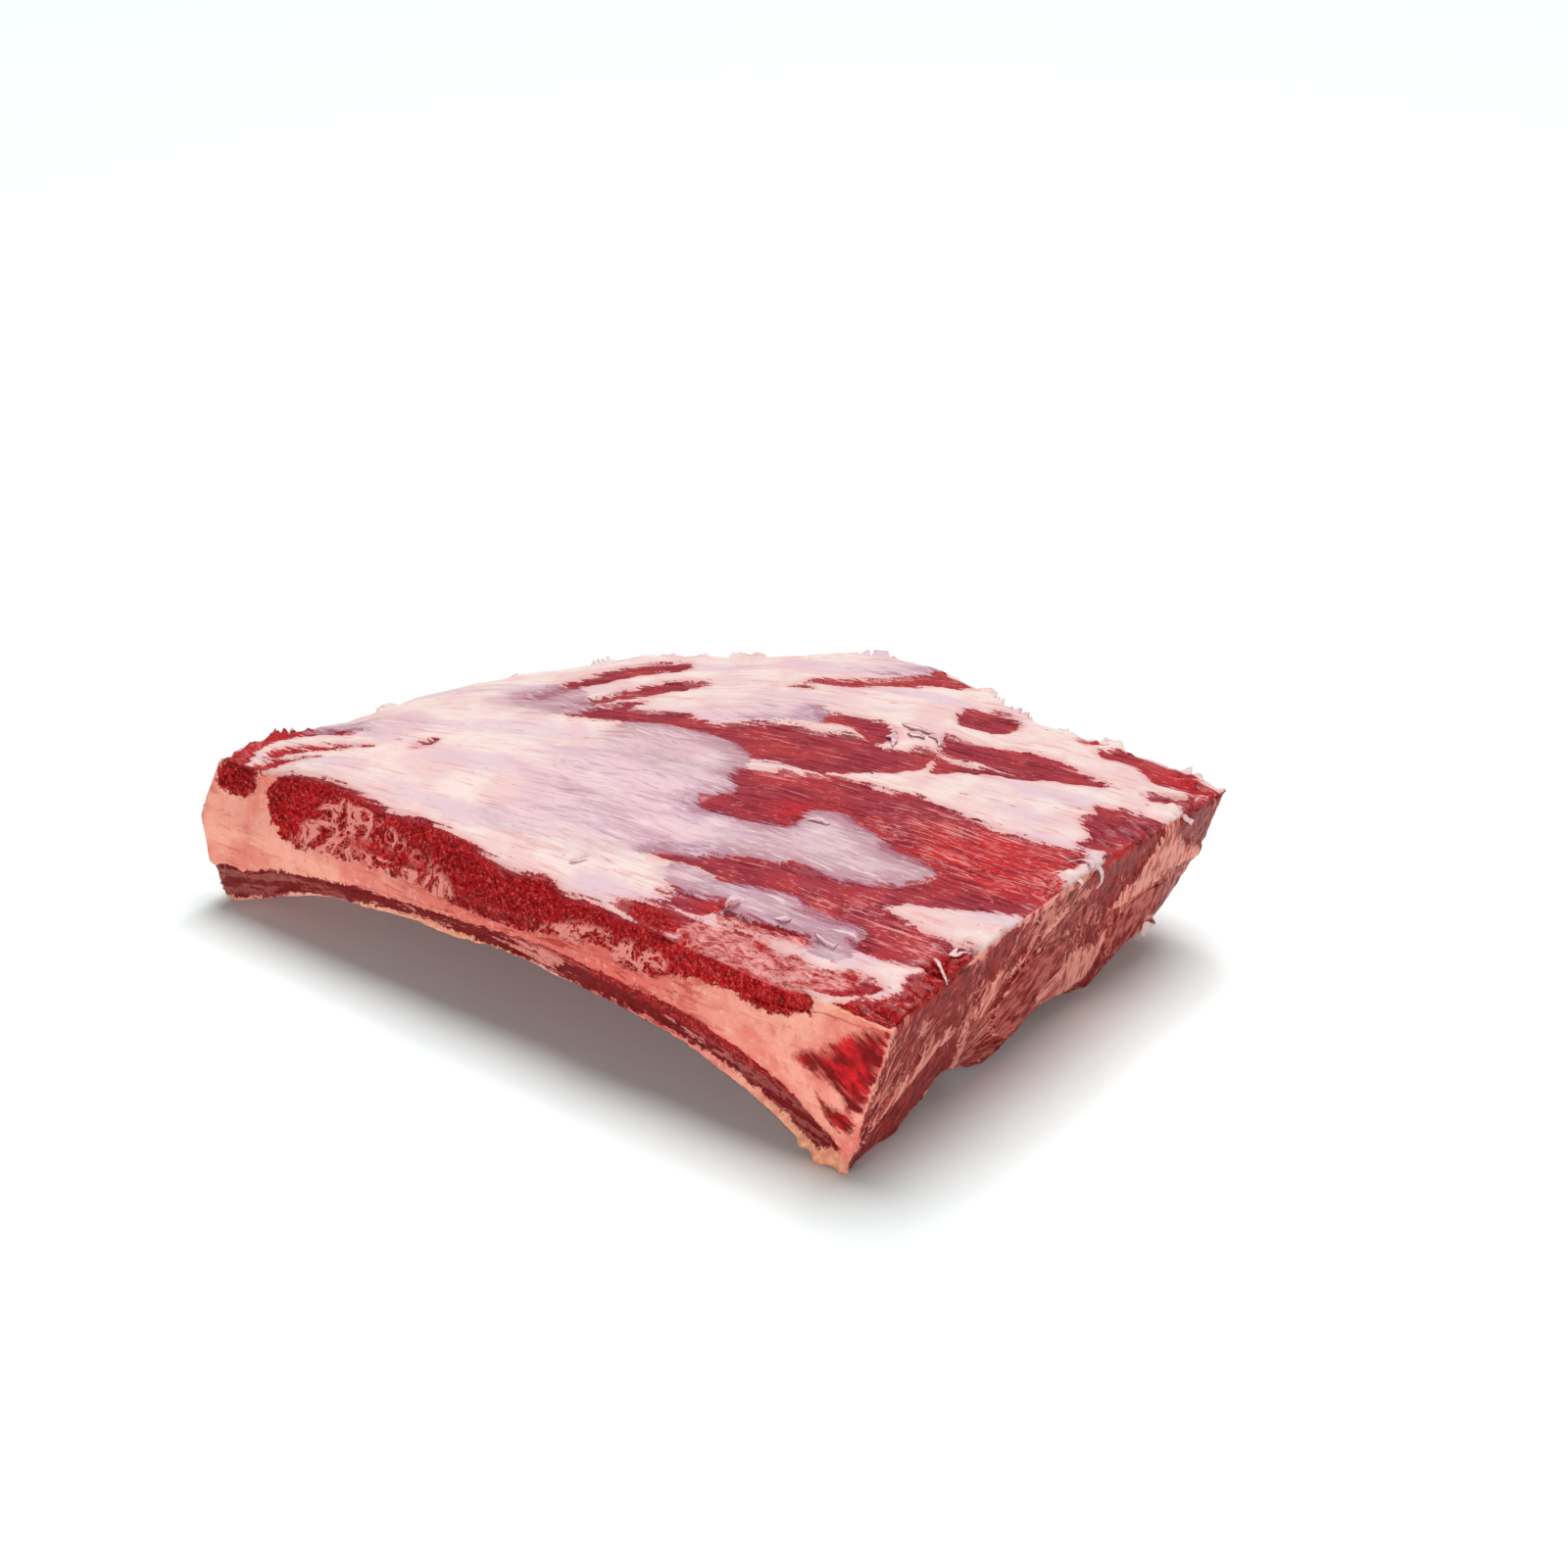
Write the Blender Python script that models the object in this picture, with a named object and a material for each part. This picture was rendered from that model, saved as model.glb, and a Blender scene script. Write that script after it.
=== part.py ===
"""Raw beef short ribs, as one slab of three ribs lying meat side up.

The slab is an arched, fan-shaped block of meat. Its long front side follows the first
rib, whose bone shows there from end to end. The second and third ribs run through the
meat and show their cut ends at the right end face and at the oblique back left side.

Slab coordinates, used by every function below: x runs along the ribs from the narrow
left end, y runs across them from the front side, and z is the height above the table.
The finished slab is then moved so that it stands centred on the origin.
"""

import math

import bmesh
import bpy
from mathutils import Vector, noise

MM = 0.001

# Size of the slab
LENGTH = 300 * MM
WIDTH = 214 * MM
HEIGHT = 60 * MM

# Back edge, seen from above: (x, y) along the oblique cut and then along the last rib
BACK_EDGE = (
    (0 * MM, 66 * MM),
    (18 * MM, 86 * MM),
    (48 * MM, 146 * MM),
    (80 * MM, 178 * MM),
    (130 * MM, 220 * MM),
    (174 * MM, 224 * MM),
    (216 * MM, 209 * MM),
    (262 * MM, 213 * MM),
    (300 * MM, 208 * MM),
)

# Arch of the underside, which the curve of the ribs gives. A pair gives a value along the
# first rib and along the third, which is shorter and so curves less
ARCH_RISE = (27 * MM, 19 * MM)
ARCH_LEFT_FOOT_X = (4 * MM, 55 * MM)
ARCH_CENTRE_X = (146 * MM, 170 * MM)
ARCH_RIGHT_FOOT_X = 269 * MM
ARCH_POWER_LEFT = 2.5
ARCH_POWER_RIGHT = 3.2
ARCH_SHORTENS_FROM_Y = 50 * MM
ARCH_SHORTENS_TO_Y = 150 * MM

# Lobes that hang from the underside. A pair gives a value at the left and right end
HOLLOW = 9 * MM
LOBES = (
    {"y": (0 * MM, 0 * MM), "half_width": 22 * MM, "drop": (1 * MM, 9 * MM)},
    {"y": (20 * MM, 27 * MM), "half_width": 32 * MM, "drop": (9 * MM, 9 * MM)},
    {"y": (70 * MM, 94 * MM), "half_width": 29 * MM, "drop": (9 * MM, 9 * MM)},
    {"y": (130 * MM, 164 * MM), "half_width": 32 * MM, "drop": (9 * MM, 9 * MM)},
)

# Height up to which the lowest lobes are pressed flat, where the slab rests
PRESSED_FLAT = 1.8 * MM

# Top surface: a crown that leans to the front, and the drop of the left end
CROWN = 9 * MM
CROWN_LEAN = 0.8
CROWN_AT_LEFT_END = 0.3
CROWN_RISES_OVER = 70 * MM
LEFT_END_DROP = 3 * MM
LEFT_END_DROP_OVER = 50 * MM

# Left end: it bulges outwards, and steps in behind the first rib. Steps are shares of y
LEFT_END_BULGE = 10 * MM
LEFT_END_ROUND = 0.74
LEFT_END_STEP = 26 * MM
LEFT_END_STEP_FROM = 0.32
LEFT_END_STEP_TO = 0.68

# Right end, back side, front side and edges
END_LEAN = 17 * MM
BACK_UNDERCUT = (8 * MM, 28 * MM)
UNDERCUT_GROWS_OVER = 110 * MM
UNDERCUT_UP_TO = 0.65
UNDERCUT_POWER = 1.3
FRONT_SLOPE = (11 * MM, 3 * MM)
FRONT_SLOPE_FROM = 0.5
EDGE_RADIUS = 4.5 * MM

# Relief of the meat's surface
LUMP_SIZE = 32 * MM
LUMP_DEPTH = 1.6 * MM
RIDGE_SPACING = 9 * MM
RIDGE_LENGTH = 60 * MM
RIDGE_DEPTH = 0.9 * MM
RIDGE_SHIFT = Vector((7, 3, 1))
RELIEF_FADE = 4

# Crags of fat along the top of the oblique back left edge
CRAG_CENTRE_X = 75 * MM
CRAG_REACH = 90 * MM
CRAG_SIZE = 15 * MM
CRAG_HEIGHT = 27 * MM
CRAG_DEPTH = 7 * MM
CRAG_FROM = 0.25
CRAG_FULL = 0.88
CRAG_SHIFT = Vector((0, 0, 4.7))

# Cells that the block is cut into before it is shaped
CELLS_ALONG = 40
CELLS_ACROSS = 23
CELLS_HIGH = 5
CELL_GROWTH_ALONG = 1.3
EDGE_CUTS = (0.3, 0.95)

# First rib, which shows along the front side: (x, lowest z, highest z, depth into the slab)
FIRST_RIB_STATIONS = (
    (-30 * MM, 14 * MM, 76 * MM, 14 * MM),
    (8 * MM, 18 * MM, 76 * MM, 14 * MM),
    (20 * MM, 21 * MM, 66 * MM, 12 * MM),
    (32 * MM, 25 * MM, 44 * MM, 8 * MM),
    (60 * MM, 29 * MM, 41 * MM, 7 * MM),
    (100 * MM, 34 * MM, 43 * MM, 7 * MM),
    (150 * MM, 39 * MM, 44 * MM, 7 * MM),
    (200 * MM, 38 * MM, 48 * MM, 8 * MM),
    (240 * MM, 32 * MM, 53 * MM, 8 * MM),
    (265 * MM, 20 * MM, 57 * MM, 8 * MM),
    (285 * MM, 9 * MM, 63 * MM, 8 * MM),
    (330 * MM, 6 * MM, 66 * MM, 8 * MM),
)

# Second and third ribs. A pair gives a value at the left and right end
INNER_RIBS = (
    {
        "y": (68 * MM, 97 * MM),
        "wide": (26 * MM, 44 * MM),
        "high": (15 * MM, 38 * MM),
        "above_underside": 9 * MM,
    },
    {
        "y": (128 * MM, 163 * MM),
        "wide": (26 * MM, 42 * MM),
        "high": (14 * MM, 25 * MM),
        "above_underside": 12 * MM,
    },
)
RIB_SIDES = 14
RIB_STATIONS = 20
RIB_OVERSHOOT = 25 * MM
CLEARANCE = 0.35 * MM


def clamp(value, low=0.0, high=1.0):
    return max(low, min(high, value))


def smooth(value):
    """0 up to 0, 1 from 1 on, and an easy slope between."""
    value = clamp(value)
    return value * value * (3 - 2 * value)


def bell(offset, half_width):
    """1 at the centre, falling smoothly to 0 at half_width on both sides."""
    return smooth(1 - abs(offset) / half_width)


def blend(pair, share):
    return pair[0] + share * (pair[1] - pair[0])


def through(stations, x, column):
    """Reads a column of a table of stations at x, on a smooth curve through all of them."""
    last = len(stations) - 1
    place = sum(x > station[0] for station in stations[1:last])
    start, end = stations[place], stations[place + 1]
    slopes = []
    for index in (place, place + 1):
        before, after = stations[max(index - 1, 0)], stations[min(index + 1, last)]
        slopes.append((after[column] - before[column]) / (after[0] - before[0]))
    gap = end[0] - start[0]
    rise = end[column] - start[column]
    t = clamp((x - start[0]) / gap)
    bow = t * (1 - t) * ((1 - t) * (slopes[0] * gap - rise) - t * (slopes[1] * gap - rise))
    return start[column] + t * rise + bow


# ---------------------------------------------------------------- the slab's form


def back_edge(x):
    """y of the slab's back edge."""
    return through(BACK_EDGE, x, 1)


def underside(x, across):
    """z of the underside: an arch along the ribs, with rounded lobes that run along it."""
    y = across * back_edge(x)
    inwards = (y - ARCH_SHORTENS_FROM_Y) / (ARCH_SHORTENS_TO_Y - ARCH_SHORTENS_FROM_Y)
    centre = blend(ARCH_CENTRE_X, smooth(inwards))
    if x < centre:
        foot, power = blend(ARCH_LEFT_FOOT_X, smooth(inwards)), ARCH_POWER_LEFT
    else:
        foot, power = ARCH_RIGHT_FOOT_X, ARCH_POWER_RIGHT
    reach = clamp((x - centre) / (foot - centre))
    height = blend(ARCH_RISE, smooth(inwards)) * (1 - reach**power) + HOLLOW
    for lobe in LOBES:
        offset = y - blend(lobe["y"], x / LENGTH)
        height -= blend(lobe["drop"], x / LENGTH) * bell(offset, lobe["half_width"])
    return height


def upper_side(x, across):
    """z of the top: low along the front and back, crowned in the middle."""
    crown = CROWN * math.sin(math.pi * across**CROWN_LEAN)
    crown *= smooth(x / CROWN_RISES_OVER + CROWN_AT_LEFT_END)
    return HEIGHT + crown - LEFT_END_DROP * (1 - smooth(x / LEFT_END_DROP_OVER))


def left_end(across, up):
    """x of the left end."""
    step = (across - LEFT_END_STEP_FROM) / (LEFT_END_STEP_TO - LEFT_END_STEP_FROM)
    bulge = math.sqrt(math.sin(math.pi * LEFT_END_ROUND * clamp(up)))
    return LEFT_END_STEP * smooth(step) - LEFT_END_BULGE * bulge


def relief(x, y, up):
    """How far the surface stands out at a point: soft lumps, and ridges along the fibres."""
    lump = noise.noise(Vector((x, y, up * HEIGHT)) / LUMP_SIZE)
    grain = Vector((x / RIDGE_LENGTH, y / RIDGE_SPACING, up * HEIGHT / EDGE_RADIUS))
    return lump * LUMP_DEPTH + noise.noise(grain + RIDGE_SHIFT) * RIDGE_DEPTH


def crag(x, up):
    """Ragged fat of the oblique back left edge, strongest near the top."""
    rising = smooth((up - CRAG_FROM) / (CRAG_FULL - CRAG_FROM))
    where = Vector((x / CRAG_SIZE, up * HEIGHT / CRAG_HEIGHT, 0)) + CRAG_SHIFT
    rough = noise.noise(where) + noise.noise(where * 2) / 2
    return CRAG_DEPTH * bell(x - CRAG_CENTRE_X, CRAG_REACH) * rising * rough


def slab_point(along, across, up):
    """Carries a point of the unit block to slab coordinates. Each share runs from 0 to 1."""
    left = left_end(across, up)
    right = LENGTH - END_LEAN * (1 - up)
    x = left + along * (right - left)

    steep = smooth((up - FRONT_SLOPE_FROM) / (1 - FRONT_SLOPE_FROM))
    front = blend(FRONT_SLOPE, smooth(x / LENGTH)) * steep
    undercut = blend(BACK_UNDERCUT, smooth(x / UNDERCUT_GROWS_OVER))
    back = back_edge(x) - undercut * clamp(1 - up / UNDERCUT_UP_TO) ** UNDERCUT_POWER
    y = front + across * (back + crag(x, up) - front)

    low, high = underside(x, across), upper_side(x, across)
    z = low + up * (high - low)

    outward = relief(x, across * WIDTH, up)
    sides = [2 * share - 1 for share in (along, across, up)]
    push = Vector(side * abs(side) ** RELIEF_FADE for side in sides)
    point = Vector((x, y, z)) + push * outward
    point.z = max(point.z, PRESSED_FLAT)
    return point


# ---------------------------------------------------------------- making the meshes


def cut_positions(length, cells, growth):
    """Where a block is cut along one axis: close to both ends, and in cells that grow between."""
    ends = [EDGE_RADIUS * share for share in EDGE_CUTS]
    middle = length - 2 * EDGE_RADIUS
    inner = [EDGE_RADIUS + middle * (i / cells) ** growth for i in range(1, cells)]
    return ends + inner + [length - end for end in reversed(ends)]


def rounded(point, size):
    """Pulls a point of the block's faces in round its edges, to EDGE_RADIUS."""
    inner = Vector(clamp(p, EDGE_RADIUS, s - EDGE_RADIUS) for p, s in zip(point, size))
    offset = point - inner
    return inner + offset.normalized() * EDGE_RADIUS if offset.length > 0 else inner


def cut_across(bm, position, normal):
    everything = bm.verts[:] + bm.edges[:] + bm.faces[:]
    bmesh.ops.bisect_plane(bm, geom=everything, plane_co=position, plane_no=normal)


def finished(bm, name):
    mesh = bpy.data.meshes.new(name)
    bm.to_mesh(mesh)
    bm.free()
    return mesh


def slab_mesh():
    """A cube, cut into cells, rounded at its edges and carried to the slab's form."""
    size = Vector((LENGTH, WIDTH, HEIGHT))
    bm = bmesh.new()
    bmesh.ops.create_cube(bm, size=1)
    bmesh.ops.translate(bm, vec=(0.5, 0.5, 0.5), verts=bm.verts)
    bmesh.ops.scale(bm, vec=size, verts=bm.verts)
    rows = ((CELLS_ALONG, CELL_GROWTH_ALONG), (CELLS_ACROSS, 1), (CELLS_HIGH, 1))
    for axis, (cells, growth) in enumerate(rows):
        normal = Vector((axis == 0, axis == 1, axis == 2))
        for position in cut_positions(size[axis], cells, growth):
            cut_across(bm, normal * position, normal)
    for vert in bm.verts:
        point = rounded(vert.co, size)
        vert.co = slab_point(*(p / s for p, s in zip(point, size)))
    bmesh.ops.triangulate(bm, faces=bm.faces)
    return finished(bm, "slab_form")


def bar_mesh(name, section):
    """A closed bar along x. section(x) gives its (centre y, centre z, half width, half height)."""
    start, end = -RIB_OVERSHOOT, LENGTH + RIB_OVERSHOOT
    bm = bmesh.new()
    bmesh.ops.create_cone(
        bm, cap_ends=True, segments=RIB_SIDES, radius1=1, radius2=1, depth=end - start
    )
    middle = Vector(((start + end) / 2, 0, 0))
    for vert in bm.verts:
        vert.co = Vector((vert.co.z, vert.co.x, vert.co.y)) + middle
    for i in range(1, RIB_STATIONS):
        cut_across(bm, (start + i * (end - start) / RIB_STATIONS, 0, 0), (1, 0, 0))
    for vert in bm.verts:
        x, side, up = vert.co
        centre_y, centre_z, half_width, half_height = section(x)
        vert.co = Vector((x, centre_y + side * half_width, centre_z + up * half_height))
    bmesh.ops.recalc_face_normals(bm, faces=bm.faces)
    bmesh.ops.triangulate(bm, faces=bm.faces, quad_method="FIXED")
    return finished(bm, name)


def first_rib_section(x, growth):
    """The bone along the front side. It reaches out past the slab's side, to be cut flush."""
    low, high, depth = (through(FIRST_RIB_STATIONS, x, column) for column in (1, 2, 3))
    return 0.0, (low + high) / 2, depth + growth, (high - low) / 2 + growth


def inner_rib_section(x, growth, rib):
    """A bone inside the slab. It follows the arch of the underside and thickens to the right."""
    share = clamp(x / LENGTH) ** 2
    wide, high = blend(rib["wide"], share), blend(rib["high"], share)
    centre_y = blend(rib["y"], x / LENGTH)
    across = clamp(centre_y / back_edge(x))
    centre_z = underside(x, across) + rib["above_underside"] + high / 2
    return centre_y, centre_z, wide / 2 + growth, high / 2 + growth


# ---------------------------------------------------------------- materials and objects


def material(name, colour, roughness):
    made = bpy.data.materials.new(name)
    made.use_nodes = True
    shader = made.node_tree.nodes["Principled BSDF"]
    shader.inputs["Base Color"].default_value = (*colour, 1)
    shader.inputs["Roughness"].default_value = roughness
    shader.inputs["Metallic"].default_value = 0
    return made


def add_object(name, mesh, collection, finish=None):
    made = bpy.data.objects.new(name, mesh)
    collection.objects.link(made)
    if finish:
        mesh.materials.append(finish)
    return made


def as_guide(made):
    made.hide_render = True
    made.display_type = "WIRE"
    return made


def add_boolean(target, operation, other):
    modifier = target.modifiers.new(f"{operation.lower()}_{other.name}", "BOOLEAN")
    modifier.operation = operation
    modifier.object = other
    modifier.solver = "EXACT"


def stand_on_origin(objects):
    """Moves every mesh so that the finished pieces' common box stands centred on the origin."""
    bpy.context.view_layer.update()
    graph = bpy.context.evaluated_depsgraph_get()
    corners = [Vector(c) for o in objects for c in o.evaluated_get(graph).bound_box]
    low = Vector(min(c[i] for c in corners) for i in range(3))
    high = Vector(max(c[i] for c in corners) for i in range(3))
    shift = Vector((-(low.x + high.x) / 2, -(low.y + high.y) / 2, -low.z))
    for mesh in {o.data for o in bpy.data.objects if o.type == "MESH"}:
        for vert in mesh.vertices:
            vert.co += shift


def main():
    for old in list(bpy.data.objects):
        bpy.data.objects.remove(old)
    parts = bpy.data.collections.new("raw_beef_short_ribs")
    guides = bpy.data.collections.new("guides")
    bpy.context.scene.collection.children.link(parts)
    bpy.context.scene.collection.children.link(guides)

    flesh = material("raw_meat", (0.42, 0.035, 0.04), 0.35)
    bone = material("rib_bone", (0.72, 0.36, 0.27), 0.45)

    form = slab_mesh()
    slab = as_guide(add_object("slab_form", form, guides))
    meat = add_object("meat", form.copy(), parts, flesh)
    sections = [first_rib_section]
    for rib in INNER_RIBS:
        sections.append(lambda x, growth, rib=rib: inner_rib_section(x, growth, rib))
    pieces = [meat]
    for number, section in enumerate(sections, start=1):
        solid = bar_mesh(f"rib_{number}", lambda x: section(x, 0))
        rib = add_object(f"rib_{number}", solid, parts, bone)
        add_boolean(rib, "INTERSECT", slab)
        room = bar_mesh(f"room_for_rib_{number}", lambda x: section(x, CLEARANCE))
        add_boolean(meat, "DIFFERENCE", as_guide(add_object(room.name, room, guides)))
        pieces.append(rib)
    stand_on_origin(pieces)


main()
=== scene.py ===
# %% [markdown]
# # Raw beef short ribs
# A slab of raw short ribs lies meat side up on a pale table. The solids under it were made in a
# CAD step and are loaded here as a fixed frame. This lesson gives them a real surface: fat,
# muscle, silverskin and bone, each where it lies on the slab, with relief and a wet finish.

# %% The frame, units and the slab's own coordinates
import math

import bmesh
import bpy
import numpy as np
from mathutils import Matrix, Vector, noise
from mathutils.bvhtree import BVHTree


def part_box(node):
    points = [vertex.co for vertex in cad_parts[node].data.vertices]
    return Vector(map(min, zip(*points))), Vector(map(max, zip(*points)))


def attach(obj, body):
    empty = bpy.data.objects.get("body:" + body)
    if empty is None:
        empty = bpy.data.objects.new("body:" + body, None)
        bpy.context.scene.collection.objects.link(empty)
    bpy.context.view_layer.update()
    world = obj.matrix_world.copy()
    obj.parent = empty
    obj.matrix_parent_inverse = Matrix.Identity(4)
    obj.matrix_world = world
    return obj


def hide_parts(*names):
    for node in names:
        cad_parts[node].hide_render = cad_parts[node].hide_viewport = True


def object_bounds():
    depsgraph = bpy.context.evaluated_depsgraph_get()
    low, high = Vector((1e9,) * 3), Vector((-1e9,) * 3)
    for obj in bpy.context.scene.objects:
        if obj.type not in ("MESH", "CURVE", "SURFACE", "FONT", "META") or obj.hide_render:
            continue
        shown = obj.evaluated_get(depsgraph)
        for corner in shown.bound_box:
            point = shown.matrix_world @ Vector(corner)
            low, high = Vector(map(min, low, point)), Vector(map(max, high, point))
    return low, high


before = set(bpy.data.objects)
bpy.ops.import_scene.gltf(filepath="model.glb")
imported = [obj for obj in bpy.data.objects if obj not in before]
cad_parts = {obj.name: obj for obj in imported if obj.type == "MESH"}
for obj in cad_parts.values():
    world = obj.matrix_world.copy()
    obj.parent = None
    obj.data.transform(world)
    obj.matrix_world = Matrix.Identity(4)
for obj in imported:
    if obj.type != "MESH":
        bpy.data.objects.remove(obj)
cad_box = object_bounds()
MM = 0.001

# Slab coordinates are in millimetres: x runs along the ribs from the narrow left end, y runs
# across them from the long front side, and z is the height over the table.
CORNER_INSET = Vector((10, 1, -1.8))
SLAB_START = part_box("meat")[0] + CORNER_INSET * MM
LENGTH = 300
print("CAD box", [list(corner) for corner in cad_box])


def to_slab(points):
    """Points of the frame, in metres, as slab coordinates in millimetres."""
    return (points - np.array(SLAB_START)) / MM


# %% [markdown]
# ## Camera, table and light
# The picture was taken from above the front right corner with a long lens, so that the slab's
# edges hardly converge. The table is a pale sheet. A wide soft light shines from above and behind,
# a low broad lamp fills the front, and a dim room does the rest, so the arch has a soft shadow.

# %% Camera
LOOK_AT = Vector((0.0288, -0.0026, 0.0602))
CAMERA_DISTANCE = 1.173
CAMERA_AZIMUTH = math.radians(37.53)
CAMERA_ELEVATION = math.radians(28.02)
CAMERA_LENS = 76.5


def aim(thing, at):
    """Turns a camera or a lamp to look at a place."""
    thing.rotation_euler = (at - thing.location).to_track_quat("-Z", "Y").to_euler()


camera = bpy.data.objects.new("camera", bpy.data.cameras.new("camera"))
level = math.cos(CAMERA_ELEVATION)
towards_camera = Vector(
    (math.sin(CAMERA_AZIMUTH) * level, -math.cos(CAMERA_AZIMUTH) * level, math.sin(CAMERA_ELEVATION))
)
camera.location = LOOK_AT + towards_camera * CAMERA_DISTANCE
camera.data.lens = CAMERA_LENS
camera.data.sensor_width = 36
camera.data.clip_start = 0.05
aim(camera, LOOK_AT)
bpy.context.scene.collection.objects.link(camera)
bpy.context.scene.camera = camera
print("camera at", [round(c, 3) for c in camera.location])

# %% Table and lamps
FLOOR_SIZE = 60
TABLE_GLOW, TABLE_ROUGHNESS = 0.02, 0.8
TABLE_WHITE = (0.91, 0.96, 0.953)
ROOM_LIGHT = 0.12
ROOM_COLOUR = (0.78, 1.0, 0.97)
SKY_LIGHT = 2.85
SKY_SPREAD = math.radians(42)
SKY_FROM = Vector((-0.1, 0.35, 1.0))
LAMPS = {
    "lamp_above": {"at": (-0.35, 0.7, 1.3), "wide": 0.22, "high": 0.22, "power": 3},
    "lamp_front": {"at": (0.8, -1.7, 0.34), "wide": 2.4, "high": 0.56, "power": 20},
}


def glowing_material(name):
    """The table's off-white, with a faint glow that keeps its far end white."""
    made = bpy.data.materials.new(name)
    made.use_nodes = True
    shader = made.node_tree.nodes["Principled BSDF"]
    shader.inputs["Base Color"].default_value = (*TABLE_WHITE, 1)
    shader.inputs["Roughness"].default_value = TABLE_ROUGHNESS
    shader.inputs["Emission Color"].default_value = (1, 1, 1, 1)
    shader.inputs["Emission Strength"].default_value = TABLE_GLOW
    return made


def place_in_scene(name, data):
    made = bpy.data.objects.new(name, data)
    bpy.context.scene.collection.objects.link(made)
    return made


def object_from(bm, name, material=None):
    """Ends a bmesh as an object at the origin."""
    mesh = bpy.data.meshes.new(name)
    bm.to_mesh(mesh)
    bm.free()
    if material:
        mesh.materials.append(material)
    return place_in_scene(name, mesh)


bm = bmesh.new()
bmesh.ops.create_grid(bm, x_segments=1, y_segments=1, size=FLOOR_SIZE / 2)
floor = object_from(bm, "table_top", glowing_material("pale_table"))

for name, lamp in LAMPS.items():
    light = bpy.data.lights.new(name, "AREA")
    light.shape = "RECTANGLE"
    light.size = lamp["wide"]
    light.size_y = lamp["high"]
    light.energy = lamp["power"]
    lamp_object = place_in_scene(name, light)
    lamp_object.location = lamp["at"]
    aim(lamp_object, LOOK_AT)

sky = bpy.data.lights.new("bright_ceiling", "SUN")
sky.energy = SKY_LIGHT
sky.angle = SKY_SPREAD
sky_object = place_in_scene("bright_ceiling", sky)
sky_object.location = SKY_FROM
aim(sky_object, Vector((0, 0, 0)))

# The room lights the slab dimly, and the wall behind the table looks white.
world = bpy.data.worlds.new("room")
world.use_nodes = True
room = world.node_tree
dim = room.nodes["Background"]
dim.inputs["Color"].default_value = (*ROOM_COLOUR, 1)
dim.inputs["Strength"].default_value = ROOM_LIGHT
wall = room.nodes.new("ShaderNodeBackground")
wall.inputs["Color"].default_value = (1, 1, 1, 1)
seen = room.nodes.new("ShaderNodeMixShader")
room.links.new(room.nodes.new("ShaderNodeLightPath").outputs["Is Camera Ray"], seen.inputs[0])
room.links.new(dim.outputs[0], seen.inputs[1])
room.links.new(wall.outputs[0], seen.inputs[2])
room.links.new(seen.outputs[0], room.nodes["World Output"].inputs["Surface"])
bpy.context.scene.world = world
bpy.context.scene.view_settings.view_transform = "Standard"
print("lamps", sorted(LAMPS))

# %% [markdown]
# ## Where each tissue lies
# A butcher's cut shows muscle, fat, silverskin and bone in patches. Each patch is drawn as a
# closed outline in millimetres, seen from above for the top, from the front for the long side
# and from the right for the wide end face. From an outline comes a depth: how far a place lies
# inside it. A shader can then fray the edge of the patch, which a hard mask wouldn't allow.

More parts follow.
